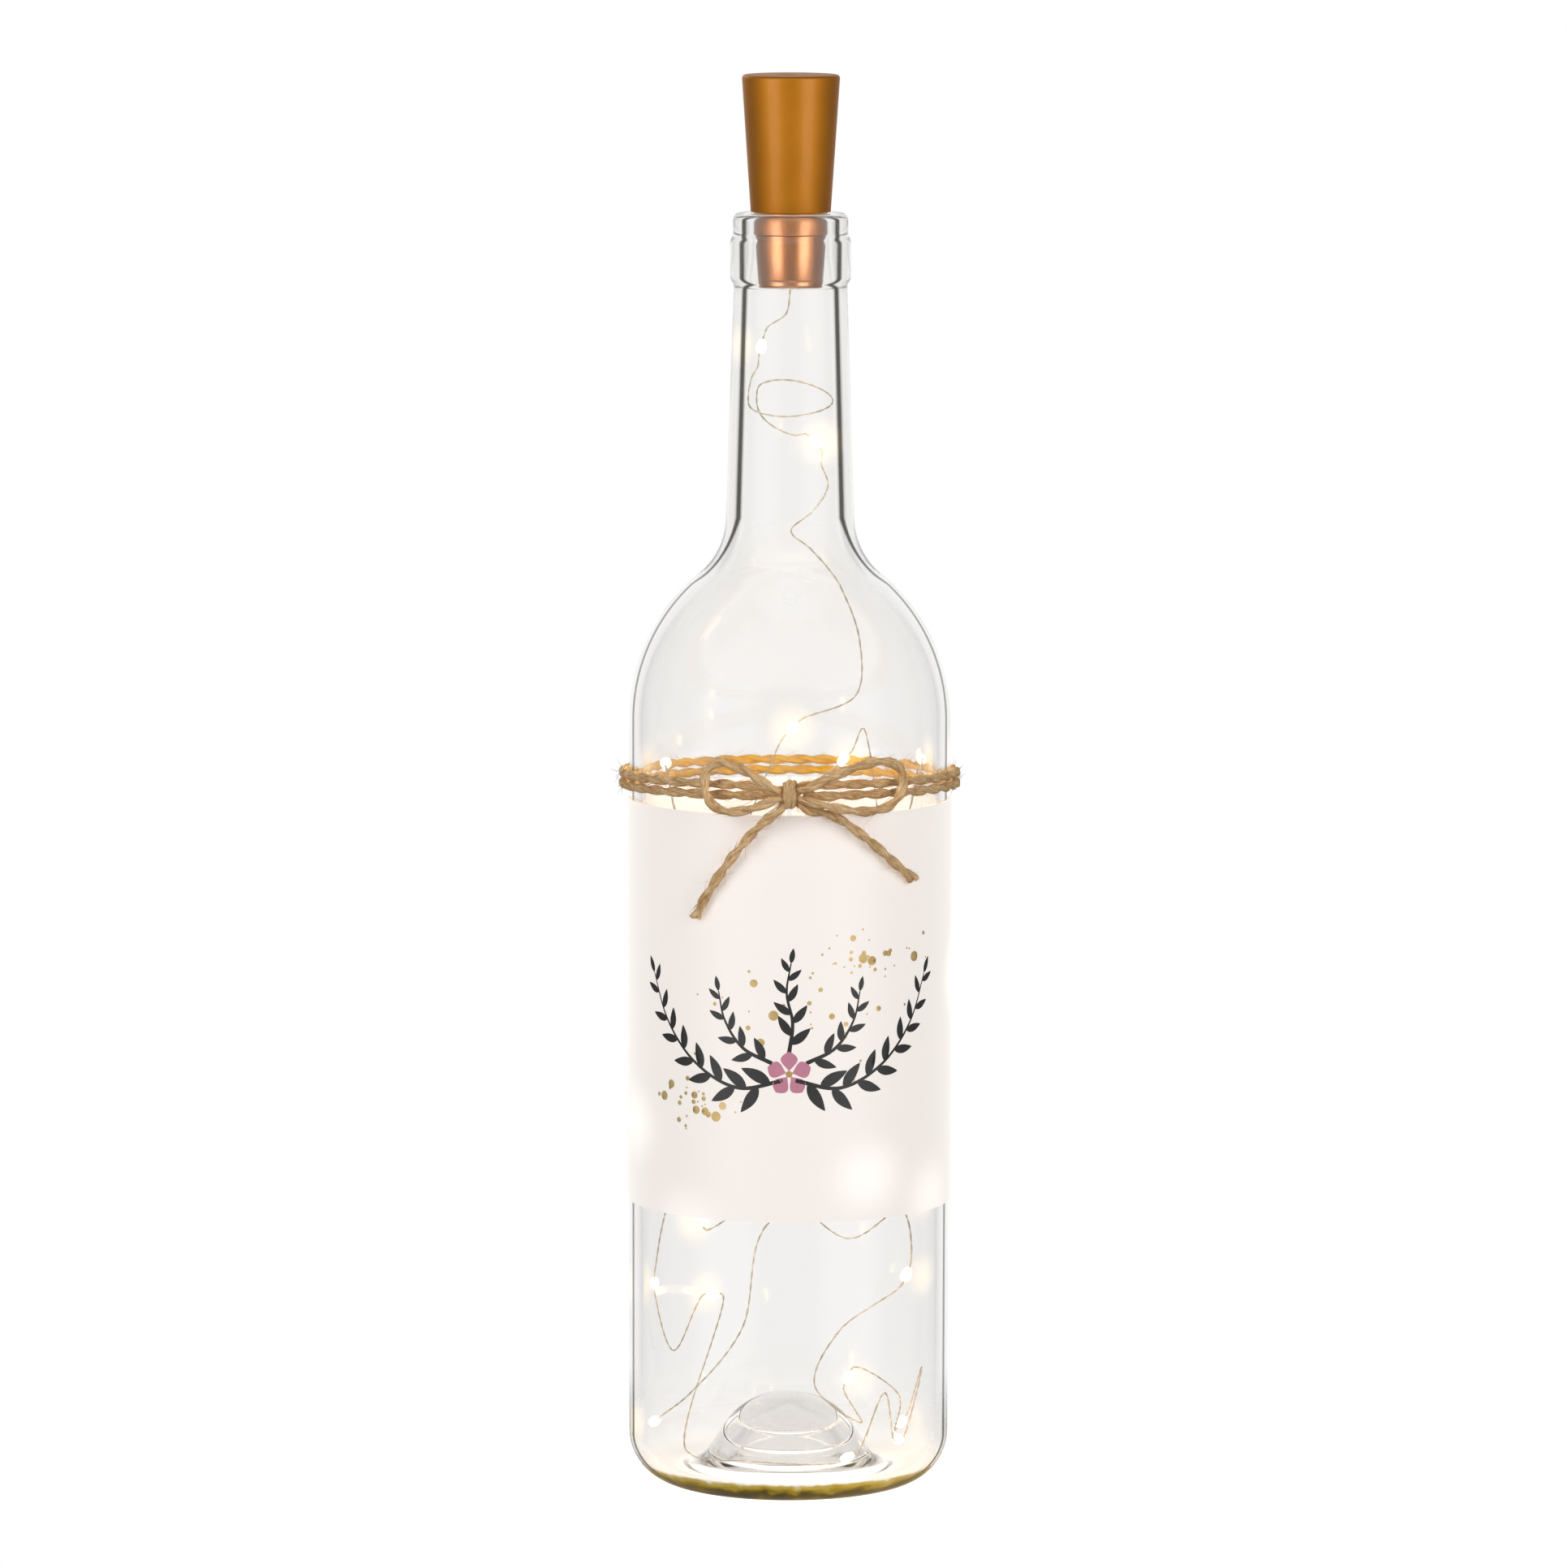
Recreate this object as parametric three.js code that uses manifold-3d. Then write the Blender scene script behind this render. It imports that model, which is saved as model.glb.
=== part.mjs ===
// Bottle light: a clear glass bottle with a string of small lights inside, a tapered stopper that
// holds the button cells and the switch, a thin printed wrap and a bow of jute twine.
// Millimetres, +Z up, origin at the centre of the base, front towards -Y.
import * as THREE from 'three';
import { mergeVertices } from 'three/addons/utils/BufferGeometryUtils.js';
import Module from 'manifold-3d';

// Clearances
const seatGap = 0.2; // between faces that rest on each other
const looseGap = 0.3; // round a piece that passes through or lies beside another

// Bottle glass
const bodyRadius = 37.75;
const bodyHeight = 181.5; // base to the start of the shoulder
const glassWall = 3.1;
const heelRadius = 12;
const standWidth = 2.5; // flat ring that the bottle stands on
const puntDepth = 15.5; // hollow under the base
const puntRings = [16, 11.4, 8.8]; // radii of the moulded steps in the hollow
const puntRingStep = 0.7;
const baseThickness = 5.5; // glass over the hollow
const shoulderRadius = 44.5;
const neckFillet = 17.75;
const neckFootRadius = 15.05;
const neckTopRadius = 13.3;
const neckLength = 54.4; // foot of the neck to the underside of the ring
const ringRadius = 14.15;
const ringHeight = 11.6;
const ringEdge = 1.3; // slope under the ring
const lipRadius = 13.5;
const lipHeight = 5.2;
const lipRound = 1.6;
const mouthRadius = 9.1;
const mouthChamfer = 0.4;
const mouthDepth = 10; // straight bore below the rim
const throatRadius = 10.3; // bore where the neck leaves the ring
const glassSegments = 48;
const heelSteps = 7;
const shoulderSteps = 8;
const filletSteps = 5;
const edgeSteps = 3;

// Printed wrap
const wrapBottom = 68;
const wrapHeight = 95.5;
const wrapThickness = 0.3;
const wrapGap = 0.1;
const wrapSeam = 1.2; // butt gap at the back

// Twine and bow
const twineRadius = 1;
const twineHeight = 168.3; // lower turn above the base
const twinePitch = 2.48;
const twineSag = 3.2; // the turns sit this much lower at the back than at the front
const twineGap = 0.35; // twine to glass
const twineCrossGap = 0.45; // between strands that cross
const twineTurnSteps = 40;
const twineSides = 6;
const liftAngle = 26; // the ends leave the glass over this angle
const dipAngle = 14; // and draw level with the knot over this one
const dipShare = 0.6;
const crossAngle = 8; // half the angle in which the strand climbs to its second turn
const knotHalfWidth = 2.9;
const knotHalfDepth = 2.6;
const knotHalfHeight = 3;
const knotBandRadius = 2;
const knotBandThickness = 1.05;
const knotLift = 0.9; // knot centre above the lower turn
const knotSegments = 16;
const knotRings = 10;
const loopSteps = 24;
const leftLoopReach = 14.6;
const leftLoopHeight = 4.6;
const rightLoopReach = 21.4;
const rightLoopHeight = 4.7;
const loopRise = 2; // ends of the loops above the knot's centre
const loopSpread = 1.35; // half the distance between the two ends of a loop
const tailSides = 8;

// Stopper shell
const stopperTopRadius = 11.45;
const stopperRimRadius = 9.375;
const stopperHeight = 32; // above the rim of the glass
const stopperEdge = 0.8;
const sleeveRadius = 8.65; // short sleeve inside the mouth
const sleeveLength = 5.2;
const shellWall = 1.8;
const shellTop = 2;
const shellBoreRadius = 7.5;
const shellBoreLength = 8; // straight guide before the bore widens
const shellRibCount = 4;
const shellRibWidth = 1.2;
const stopperSegments = 40;

// Battery carrier and plug end
const plugTopRadius = 8.35;
const plugBottomRadius = 7.65;
const plugLength = 10.6;
const plugChamfer = 0.8;
const plugFloor = 2;
const carrierFloorRise = 6.8; // cell floor above the seam
const carrierFloor = 2;
const carrierWall = 1.1;
const carrierTopRing = 2.2; // ring left above the cell window
const leadSlotWidth = 3.2;
const leadChamberRadius = 5.5;
const carrierSegments = 32;

// Cells and contacts
const cellRadius = 5.8;
const cellHeight = 5.4;
const cellCount = 3;
const cellCapRadius = 4.9;
const cellCapHeight = 0.5;
const cellGap = 0.1;
const cellSegments = 20;
const springRadius = 3.7;
const springWire = 0.35; // radius
const springPitch = 1.2;
const springTurns = 3;
const springTurnSteps = 10;
const springSides = 5;
const platePressing = 0.3;
const plateThickness = 0.4;
const plateRadius = 4.75;
const dimpleRadius = 1.6;

// Board and switch
const boardRadius = 6.8;
const boardThickness = 1;
const boardSegments = 16; // in half a turn
const caseLength = 8.6;
const caseWidth = 4.4;
const caseHeight = 3.6;
const caseWall = 0.8;
const caseEdge = 0.5;
const sliderTravel = 2;
const sliderFootLength = 3.6;
const sliderFootHeight = 1.2;
const knobLength = 1.8;
const knobWidth = 1.4;
const knobRecess = 0.6; // knob below the top of the stopper
const resistorLength = 2;
const resistorWidth = 1.2;
const resistorHeight = 0.6;

// Wires and lights
const wireRadius = 0.3;
const wireSides = 6;
const leadRadius = 0.4;
const leadSides = 8;
const leadSpacing = 1.5; // between the two leads
const leadSteps = 12;
const leadBends = [0.75, 0.3]; // how far out the leads still are at their two bends
const sealRadius = 2.2;
const sealLength = 2.4;
const sealSegments = 16;
const lightRadius = 1.4;
const lightLength = 4.2;
const lightSegments = 8;
const lightEnd = 0.28; // end faces, as a share of the resin's thickness
const lightBelly = 0.33; // full middle, as a share of the length
const samePlace = 5; // radii along a tube within which it is not measured against itself
const wireStub = 0.7; // wire that stays straight past each end of a light
const longSpan = 28; // longer stretches of wire get a station in the middle

// Route of the light string: angle from the front in degrees, distance in from the glass, height
// above the base, and 1 where a light sits
const leadRoute = [
  [-28, 8.2, 277.6, 0],
  [-66, 4.9, 274.6, 0],
  [-80, 3.85, 269.9, 1],
];
const neckRoute = [
  [-85, 3.3, 265.4, 0],
  [-90, 1.7, 262.2, 0],
  [-86, 1.2, 258.6, 0],
  [-61, 1.2, 255.6, 0],
  [-33, 1.2, 254.3, 0],
  [-4, 1.2, 253.9, 0],
  [28, 1.2, 254.6, 0],
  [60, 1.2, 256, 0],
  [93, 1.2, 257.8, 0],
  [128, 1.2, 259.4, 0],
  [162, 1.2, 260.9, 0],
  [196, 1.2, 261.5, 0],
  [232, 1.7, 260.6, 0],
  [266, 3.1, 258.2, 0],
  [300, 3.2, 254.4, 0],
  [335, 2.8, 251.3, 0],
  [8, 2.7, 249.4, 0],
  [38, 2.9, 247.7, 1],
];
const bodyRoute = [
  [50, 2.5, 242.4, 0],
  [62, 2.1, 237.4, 0],
  [30, 2, 231.6, 0],
  [1, 1.9, 227, 0],
  [24, 1.7, 222.4, 0],
  [40, 2.2, 213, 0],
  [36, 2.6, 201.6, 0],
  [29, 3, 190.2, 0],
  [1, 3.2, 183.2, 1],
  [-38, 3.4, 143, 0],
  [-66, 3.7, 172.7, 1],
  [-135, 3.6, 149, 0],
  [155, 3.6, 168.7, 1],
  [145, 3.2, 176.4, 0],
  [128, 3.6, 143, 0],
  [100, 2.4, 171.5, 1],
  [46, 3.2, 140, 0],
  [86, 2.4, 121.2, 1],
  [140, 3.6, 98, 0],
  [200, 3.6, 118, 1],
  [246, 3.6, 125, 0],
  [-69, 2.8, 88, 1],
  [-2, 3.6, 100, 0],
  [60, 2.8, 71.4, 1],
  [12, 3.4, 84, 0],
  [-39, 3.7, 66.5, 1],
  [-5, 3.4, 73.5, 0],
  [26, 3.6, 62.8, 0],
  [56, 3.4, 67.6, 0],
  [60, 3.6, 52.1, 1],
  [24, 6.2, 40.4, 0],
  [13, 8, 27.6, 0],
  [38, 7.4, 17.8, 0],
  [27, 4.6, 29.5, 1],
  [72, 7.6, 22, 0],
  [113, 4.6, 11.5, 1],
  [90, 2.8, 27, 0],
  [61, 5.6, 12.4, 1],
  [45, 3.6, 25, 0],
  [29, 6.4, 10, 1],
  [-18, 5.5, 9.6, 0],
  [-62, 7.4, 9.4, 0],
  [-143, 3.8, 40, 1],
  [-119, 2.6, 28, 0],
  [-93, 2.4, 46.7, 1],
  [-32, 4.4, 92, 0],
  [30, 2.8, 78.1, 1],
  [-10, 5.6, 66, 0],
  [-21, 5.2, 41.5, 0],
  [-50, 5.4, 24.4, 0],
  [-78, 2.8, 15.2, 1],
];

// Free ends of the bow: distance round the bottle and height from the knot's centre
const leftTail = [
  [-1.9, -3.6],
  [-6.3, -7.6],
  [-11.2, -13.6],
  [-16, -20.2],
  [-19.7, -25.9],
  [-22.2, -30.2],
];
const rightTail = [
  [3, -3.3],
  [9.6, -5.6],
  [17.6, -11.6],
  [25.6, -18.2],
  [31, -22],
];

// Heights that follow from the sizes above
const neckFootHeight = bodyHeight + Math.sqrt(
  (shoulderRadius + neckFillet) ** 2 - (neckFootRadius + neckFillet - bodyRadius + shoulderRadius) ** 2,
);
const neckTopHeight = neckFootHeight + neckLength;
const ringTopHeight = neckTopHeight + ringHeight;
const rimHeight = ringTopHeight + lipHeight;
const stopperSeat = rimHeight + seatGap;
const stopperTopHeight = stopperSeat + stopperHeight;
const seamHeight = stopperSeat - sleeveLength;
const plugTopHeight = seamHeight - seatGap;
const plugBottomHeight = plugTopHeight - plugLength;
const cellFloorHeight = seamHeight + carrierFloorRise;
const springHeight = springPitch * springTurns + 2 * springWire;
const stackBottom = cellFloorHeight + springHeight + 2 * seatGap;
const stackTop = stackBottom + cellCount * cellHeight + (cellCount - 1) * cellGap;
const plateHeight = platePressing + plateThickness;
const carrierTopHeight = stackTop + cellGap + plateHeight;
const boardHeight = carrierTopHeight + seatGap;
const caseBottom = boardHeight + boardThickness + seatGap;
const carrierRadius = cellRadius + looseGap + carrierWall;
const shellCeiling = stopperTopHeight - shellTop;

// Library for joining and cutting closed solids
const wasm = await Module();
wasm.setup();

function toSolid(geometry) {
  const plain = geometry.clone();
  plain.deleteAttribute('normal');
  plain.deleteAttribute('uv');
  const merged = mergeVertices(plain, 1e-4);
  const corners = merged.index.array;
  const triVerts = [];
  for (let i = 0; i < corners.length; i += 3) {
    const [a, b, c] = [corners[i], corners[i + 1], corners[i + 2]];
    if (a !== b && b !== c && c !== a) triVerts.push(a, b, c);
  }
  const vertProperties = Float32Array.from(merged.attributes.position.array);
  const mesh = new wasm.Mesh({ numProp: 3, vertProperties, triVerts: Uint32Array.from(triVerts) });
  return new wasm.Manifold(mesh);
}

function toGeometry(solid) {
  const mesh = solid.getMesh();
  const geometry = new THREE.BufferGeometry();
  geometry.setAttribute('position', new THREE.BufferAttribute(mesh.vertProperties, 3));
  geometry.setIndex(new THREE.BufferAttribute(mesh.triVerts, 1));
  geometry.computeVertexNormals();
  return geometry;
}

function cut(geometry, ...tools) {
  return toGeometry(tools.reduce((solid, tool) => solid.subtract(toSolid(tool)), toSolid(geometry)));
}

function join(geometry, ...additions) {
  return toGeometry(additions.reduce((solid, addition) => solid.add(toSolid(addition)), toSolid(geometry)));
}

// Basic shapes, all standing along Z
function revolve(profile, segments) {
  const points = profile.map(([radius, height]) => new THREE.Vector2(radius, height));
  return new THREE.LatheGeometry(points, segments).rotateX(Math.PI / 2);
}

function box(low, high) {
  const size = high.map((value, axis) => value - low[axis]);
  const middle = high.map((value, axis) => (value + low[axis]) / 2);
  return new THREE.BoxGeometry(...size).translate(...middle);
}

function disc(radius, low, high, segments) {
  return revolve([[0, low], [radius, low], [radius, high], [0, high]], segments);
}

function arc(centreRadius, centreHeight, radius, from, to, steps) {
  return Array.from({ length: steps + 1 }, (_, i) => {
    const angle = THREE.MathUtils.degToRad(from + ((to - from) * i) / steps);
    return [centreRadius + radius * Math.cos(angle), centreHeight + radius * Math.sin(angle)];
  });
}

// A path through given stations, one for each step of an extrusion
class StationPath extends THREE.Curve {
  constructor(stations) {
    super();
    this.stations = stations;
  }

  indexAt(u) {
    return Math.round(u * (this.stations.length - 1));
  }

  getPoint(u) {
    return this.stations[this.indexAt(u)].clone();
  }

  getPointAt(u) {
    return this.getPoint(u);
  }

  getTangentAt(u) {
    const index = this.indexAt(u);
    const before = this.stations[Math.max(index - 1, 0)];
    const after = this.stations[Math.min(index + 1, this.stations.length - 1)];
    return after.clone().sub(before).normalize();
  }
}

function tube(stations, radius, sides) {
  const corners = Array.from({ length: sides }, (_, i) => {
    const angle = (2 * Math.PI * i) / sides;
    return new THREE.Vector2(radius * Math.cos(angle), radius * Math.sin(angle));
  });
  const extrudePath = new StationPath(stations);
  const options = { steps: stations.length - 1, extrudePath, bevelEnabled: false };
  return new THREE.ExtrudeGeometry(new THREE.Shape(corners), options);
}

// Least gap of a wound tube to itself, on points set close together along its stations
function printLeastGap(name, stations, radius) {
  const shares = [0, 0.25, 0.5, 0.75];
  const points = stations.slice(1).flatMap((station, i) =>
    shares.map((share) => stations[i].clone().lerp(station, share)));
  const along = [0];
  for (let i = 1; i < points.length; i += 1) along.push(along[i - 1] + points[i].distanceTo(points[i - 1]));
  let least = Infinity;
  for (let i = 0; i < points.length; i += 1) {
    for (let j = i + 1; j < points.length; j += 1) {
      if (along[j] - along[i] > samePlace * radius) least = Math.min(least, points[i].distanceTo(points[j]));
    }
  }
  console.log(`${name}: least gap to itself ${(least - 2 * radius).toFixed(2)} mm`);
}

// A place round the bottle: angle from the front in degrees, distance from the axis, height
function around(angle, radius, height) {
  const turn = THREE.MathUtils.degToRad(angle);
  return new THREE.Vector3(radius * Math.sin(turn), -radius * Math.cos(turn), height);
}

// Finishes
const finish = (color, roughness, metalness = 0, more = {}) =>
  new THREE.MeshStandardMaterial({ color, roughness, metalness, ...more });
const clearGlass = finish(0xe9eeec, 0.05, 0, { transparent: true, opacity: 0.35 });
const printedFilm = finish(0xf6efeb, 0.55, 0, { transparent: true, opacity: 0.85 });
const juteTwine = finish(0x8a6844, 0.95);
const bronzePlastic = finish(0xb4752a, 0.38, 0.35);
const brownPlastic = finish(0x8e5a22, 0.5, 0.1);
const cellSteel = finish(0xc4c6c8, 0.28, 0.95);
const springSteel = finish(0xb9bcc0, 0.3, 0.95);
const brassSheet = finish(0xc9a24c, 0.32, 0.95);
const boardGreen = finish(0x2d6a43, 0.55);
const switchTin = finish(0xaeb2b5, 0.35, 0.9);
const blackPlastic = finish(0x1b1c1e, 0.5);
const redInsulation = finish(0xa32a22, 0.5);
const copperWire = finish(0x7d6a4d, 0.42, 0.8);
const sealResin = finish(0xcfc3ac, 0.4);
const warmLight = finish(0xffe2a6, 0.2, 0, { emissive: 0xffc766, emissiveIntensity: 1 });

const bottleLight = new THREE.Group();

function addPiece(name, geometry, material) {
  const piece = new THREE.Mesh(geometry, material);
  piece.name = name;
  bottleLight.add(piece);
  return piece;
}

// Bottle: one closed wall with the mouth open
const innerBodyRadius = bodyRadius - glassWall;
const innerNeckFoot = neckFootRadius - glassWall;
const shoulderCentre = bodyRadius - shoulderRadius;
const filletCentre = neckFootRadius + neckFillet;
const shoulderSweep = THREE.MathUtils.radToDeg(
  Math.atan2(neckFootHeight - bodyHeight, filletCentre - shoulderCentre),
);

function bottleProfile() {
  const standOuter = bodyRadius - heelRadius;
  const standInner = standOuter - standWidth;
  const boreTop = rimHeight - mouthDepth;
  const ringSlope = ringRadius - lipRadius;
  const rings = puntRings.length;
  const puntRise = (puntDepth - rings * puntRingStep) / (rings + 1);
  const outside = [
    ...arc(standOuter, heelRadius, heelRadius, -90, 0, heelSteps),
    ...arc(shoulderCentre, bodyHeight, shoulderRadius, 0, shoulderSweep, shoulderSteps),
    ...arc(filletCentre, neckFootHeight, neckFillet, 180 + shoulderSweep, 180, filletSteps).slice(1),
    [neckTopRadius, neckTopHeight],
    [ringRadius, neckTopHeight + ringEdge],
    [ringRadius, ringTopHeight - 2 * ringSlope],
    [lipRadius, ringTopHeight],
    ...arc(lipRadius - lipRound, rimHeight - lipRound, lipRound, 0, 90, edgeSteps),
  ];
  const inside = [
    [mouthRadius + mouthChamfer, rimHeight],
    [mouthRadius, rimHeight - mouthChamfer],
    [mouthRadius, boreTop],
    [throatRadius, neckTopHeight - ringEdge],
    ...arc(filletCentre, neckFootHeight, neckFillet + glassWall, 180, 180 + shoulderSweep, filletSteps),
    ...arc(shoulderCentre, bodyHeight, shoulderRadius - glassWall, shoulderSweep, 0, shoulderSteps).slice(1),
    ...arc(standOuter, heelRadius, heelRadius - glassWall, 0, -90, heelSteps),
    [standInner, glassWall + puntRise / 2],
    [puntRings[0], puntDepth + baseThickness - 3 * puntRise],
    [puntRings[rings - 1], puntDepth + baseThickness - puntRise],
    [0, puntDepth + baseThickness],
  ];
  const hollow = puntRings.flatMap((radius, i) => {
    const height = (i + 1) * puntRise + i * puntRingStep;
    return [[radius, height + puntRingStep], [radius, height]];
  });
  hollow.sort((a, b) => b[1] - a[1]);
  return [[0, puntDepth], ...hollow, [standInner, 0], ...outside, ...inside];
}

addPiece('bottle', revolve(bottleProfile(), glassSegments), clearGlass);

// Inside radius of the glass at a height
function boreAt(height) {
  if (height < heelRadius) {
    const drop = heelRadius - height;
    return bodyRadius - heelRadius + Math.sqrt(Math.max((heelRadius - glassWall) ** 2 - drop ** 2, 0));
  }
  if (height <= bodyHeight) return innerBodyRadius;
  const rise = height - bodyHeight;
  const turn = bodyHeight + shoulderRadius * Math.sin(THREE.MathUtils.degToRad(shoulderSweep));
  if (height < turn) return shoulderCentre + Math.sqrt((shoulderRadius - glassWall) ** 2 - rise ** 2);
  if (height < neckFootHeight) {
    return filletCentre - Math.sqrt((neckFillet + glassWall) ** 2 - (neckFootHeight - height) ** 2);
  }
  const share = (height - neckFootHeight) / neckLength;
  return THREE.MathUtils.lerp(innerNeckFoot, throatRadius, Math.min(share, 1));
}

// Printed wrap: a thin film round the body with a butt seam at the back
function printedWrap() {
  const inner = bodyRadius + wrapGap;
  const seamAngle = THREE.MathUtils.radToDeg(wrapSeam / 2 / bodyRadius);
  const step = 360 / glassSegments;
  const angles = [-180 + seamAngle];
  for (let angle = -180 + step; angle < 180; angle += step) angles.push(angle);
  angles.push(180 - seamAngle);
  const corner = (radius) => (angle) => {
    const place = around(angle, radius, 0);
    return new THREE.Vector2(place.x, place.y);
  };
  const outline = [...angles.map(corner(inner + wrapThickness)), ...angles.reverse().map(corner(inner))];
  const options = { depth: wrapHeight, bevelEnabled: false };
  return new THREE.ExtrudeGeometry(new THREE.Shape(outline), options).translate(0, 0, wrapBottom);
}

addPiece('label_wrap', printedWrap(), printedFilm);

// Twine: two turns in one strand, which crosses to its second turn behind the knot
const turnRadius = bodyRadius + twineGap + twineRadius;
const knotHeight = twineHeight + knotLift;
const twineClear = 2 * twineRadius + twineCrossGap;
const endRadius = turnRadius + twineClear;
const knotRadius = turnRadius + twineRadius + twineGap + knotBandRadius + knotBandThickness;
const loopRadius = knotRadius + loopSpread;

function twineTurns() {
  const endAngle = THREE.MathUtils.radToDeg((knotHalfWidth + looseGap) / endRadius);
  const steps = 2 * twineTurnSteps;
  return Array.from({ length: steps + 1 }, (_, i) => {
    const angle = endAngle + ((720 - 2 * endAngle) * i) / steps;
    const climb = THREE.MathUtils.smoothstep(angle, 360 - crossAngle, 360 + crossAngle);
    const fromEnd = Math.min(angle, 720 - angle);
    const lift = 1 - THREE.MathUtils.smoothstep(fromEnd, endAngle, liftAngle);
    const dip = 1 - THREE.MathUtils.smoothstep(fromEnd, endAngle, dipAngle);
    const level = THREE.MathUtils.lerp(twinePitch * climb, knotLift, dipShare * dip);
    const sag = (twineSag * (1 - Math.cos(THREE.MathUtils.degToRad(angle)))) / 2;
    return around(angle, turnRadius + twineClear * lift, twineHeight + level - sag);
  });
}

// A bow loop leaves the knot above, runs out and comes back below
function bowLoop(side, reach, height) {
  return Array.from({ length: loopSteps + 1 }, (_, i) => {
    const share = i / loopSteps;
    const out = Math.sin(Math.PI * share);
    const along = side * (knotHalfWidth + looseGap + reach * out);
    const rise = loopSpread * Math.cos(Math.PI * share) + height * Math.sin(2 * Math.PI * share);
    const radius = loopRadius - loopSpread * out;
    return around(THREE.MathUtils.radToDeg(along / bodyRadius), radius, knotHeight + rise + loopRise * out);
  });
}

// A free end leaves the knot below and comes down to lie on the wrap
function twineTail(points) {
  const restRadius = bodyRadius + wrapGap + wrapThickness + twineGap + twineRadius;
  const last = points.length - 1;
  const places = points.map(([along, rise], i) => {
    const radius = THREE.MathUtils.lerp(knotRadius, restRadius, Math.sqrt(i / last));
    return around(THREE.MathUtils.radToDeg(along / bodyRadius), radius, knotHeight + rise);
  });
  return new THREE.CatmullRomCurve3(places, false, 'centripetal').getSpacedPoints(2 * last);
}

function bowKnot() {
  const heart = new THREE.SphereGeometry(1, knotSegments, knotRings)
    .scale(knotHalfWidth, knotHalfDepth, knotHalfHeight);
  const band = new THREE.TorusGeometry(knotBandRadius, knotBandThickness, knotRings, knotSegments)
    .rotateY(Math.PI / 2);
  const place = around(0, knotRadius, knotHeight);
  return join(heart, band).translate(place.x, place.y, place.z);
}

const turns = twineTurns();
const leftLoop = bowLoop(-1, leftLoopReach, leftLoopHeight);
const rightLoop = bowLoop(1, rightLoopReach, rightLoopHeight);
printLeastGap('twine_wrap', turns, twineRadius);
printLeastGap('bow_loop_left', leftLoop, twineRadius);
printLeastGap('bow_loop_right', rightLoop, twineRadius);
addPiece('twine_wrap', tube(turns, twineRadius, twineSides), juteTwine);
addPiece('bow_loop_left', tube(leftLoop, twineRadius, twineSides), juteTwine);
addPiece('bow_loop_right', tube(rightLoop, twineRadius, twineSides), juteTwine);
addPiece('twine_tail_left', tube(twineTail(leftTail), twineRadius, tailSides), juteTwine);
addPiece('twine_tail_right', tube(twineTail(rightTail), twineRadius, tailSides), juteTwine);
addPiece('bow_knot', bowKnot(), juteTwine);

// Stopper shell: a tapered cap with guide ribs inside and a slot for the switch in its top
const knobStart = 0; // knob in the middle of its lit position
const slotMiddle = knobStart - sliderTravel / 2;

function stopperShell() {
  const taper = (height) => THREE.MathUtils.mapLinear(
    height, stopperSeat, stopperTopHeight, stopperRimRadius, stopperTopRadius,
  );
  const boreTop = seamHeight + shellBoreLength;
  const ceilingRadius = taper(shellCeiling) - shellWall;
  const profile = [
    [0, shellCeiling],
    [ceilingRadius, shellCeiling],
    [shellBoreRadius, boreTop],
    [shellBoreRadius, seamHeight],
    [sleeveRadius, seamHeight],
    [sleeveRadius, stopperSeat],
    [stopperRimRadius, stopperSeat],
    ...arc(stopperTopRadius - stopperEdge, stopperTopHeight - stopperEdge, stopperEdge, 0, 90, edgeSteps),
    [0, stopperTopHeight],
  ];
  const ribInner = carrierRadius + looseGap;
  const overlap = shellWall / 2;
  const ribOutline = [
    [ribInner, boreTop],
    [shellBoreRadius + overlap, boreTop],
    [ceilingRadius + overlap, shellCeiling + overlap],
    [ribInner, shellCeiling + overlap],
  ].map(([radius, height]) => new THREE.Vector2(radius, height));
  const options = { depth: shellRibWidth, bevelEnabled: false };
  const rib = new THREE.ExtrudeGeometry(new THREE.Shape(ribOutline), options)
    .translate(0, 0, -shellRibWidth / 2)
    .rotateX(Math.PI / 2);
  const ribs = Array.from({ length: shellRibCount }, (_, i) =>
    rib.clone().rotateZ((2 * Math.PI * (i + 0.5)) / shellRibCount));
  const slotHalf = (knobLength + sliderTravel) / 2 + looseGap;
  const slot = box(
    [slotMiddle - slotHalf, -knobWidth / 2 - looseGap, shellCeiling - shellTop],
    [slotMiddle + slotHalf, knobWidth / 2 + looseGap, stopperTopHeight + shellTop],
  );
  return cut(join(revolve(profile, stopperSegments), ...ribs), slot);
}

addPiece('stopper_shell', stopperShell(), bronzePlastic);

// Battery carrier: the plug end in the neck and an open cradle for the cells above it
function batteryCarrier() {
  const bore = cellRadius + looseGap;
  const profile = [
    [0, plugBottomHeight],
    [plugBottomRadius - plugChamfer, plugBottomHeight],
    [plugBottomRadius, plugBottomHeight + plugChamfer],
    [plugTopRadius, plugTopHeight],
    [carrierRadius, plugTopHeight],
    [carrierRadius, carrierTopHeight],
    [bore, carrierTopHeight],
    [bore, cellFloorHeight],
    [0, cellFloorHeight],
  ];
  const chamberTop = cellFloorHeight - carrierFloor;
  const chamber = disc(leadChamberRadius, plugBottomHeight + plugFloor, chamberTop, carrierSegments);
  const holeTop = chamberTop - carrierFloor;
  const hole = disc(sealRadius + looseGap, plugBottomHeight - plugFloor, holeTop, carrierSegments);
  const window = box(
    [-cellRadius - looseGap / 2, -2 * carrierRadius, cellFloorHeight],
    [cellRadius + looseGap / 2, 0, carrierTopHeight - carrierTopRing],
  );
  const slot = box(
    [-leadSlotWidth / 2, leadChamberRadius - looseGap, plugTopHeight + plugFloor],
    [leadSlotWidth / 2, 2 * carrierRadius, carrierTopHeight + carrierTopRing],
  );
  return cut(revolve(profile, carrierSegments), chamber, hole, window, slot);
}

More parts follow.
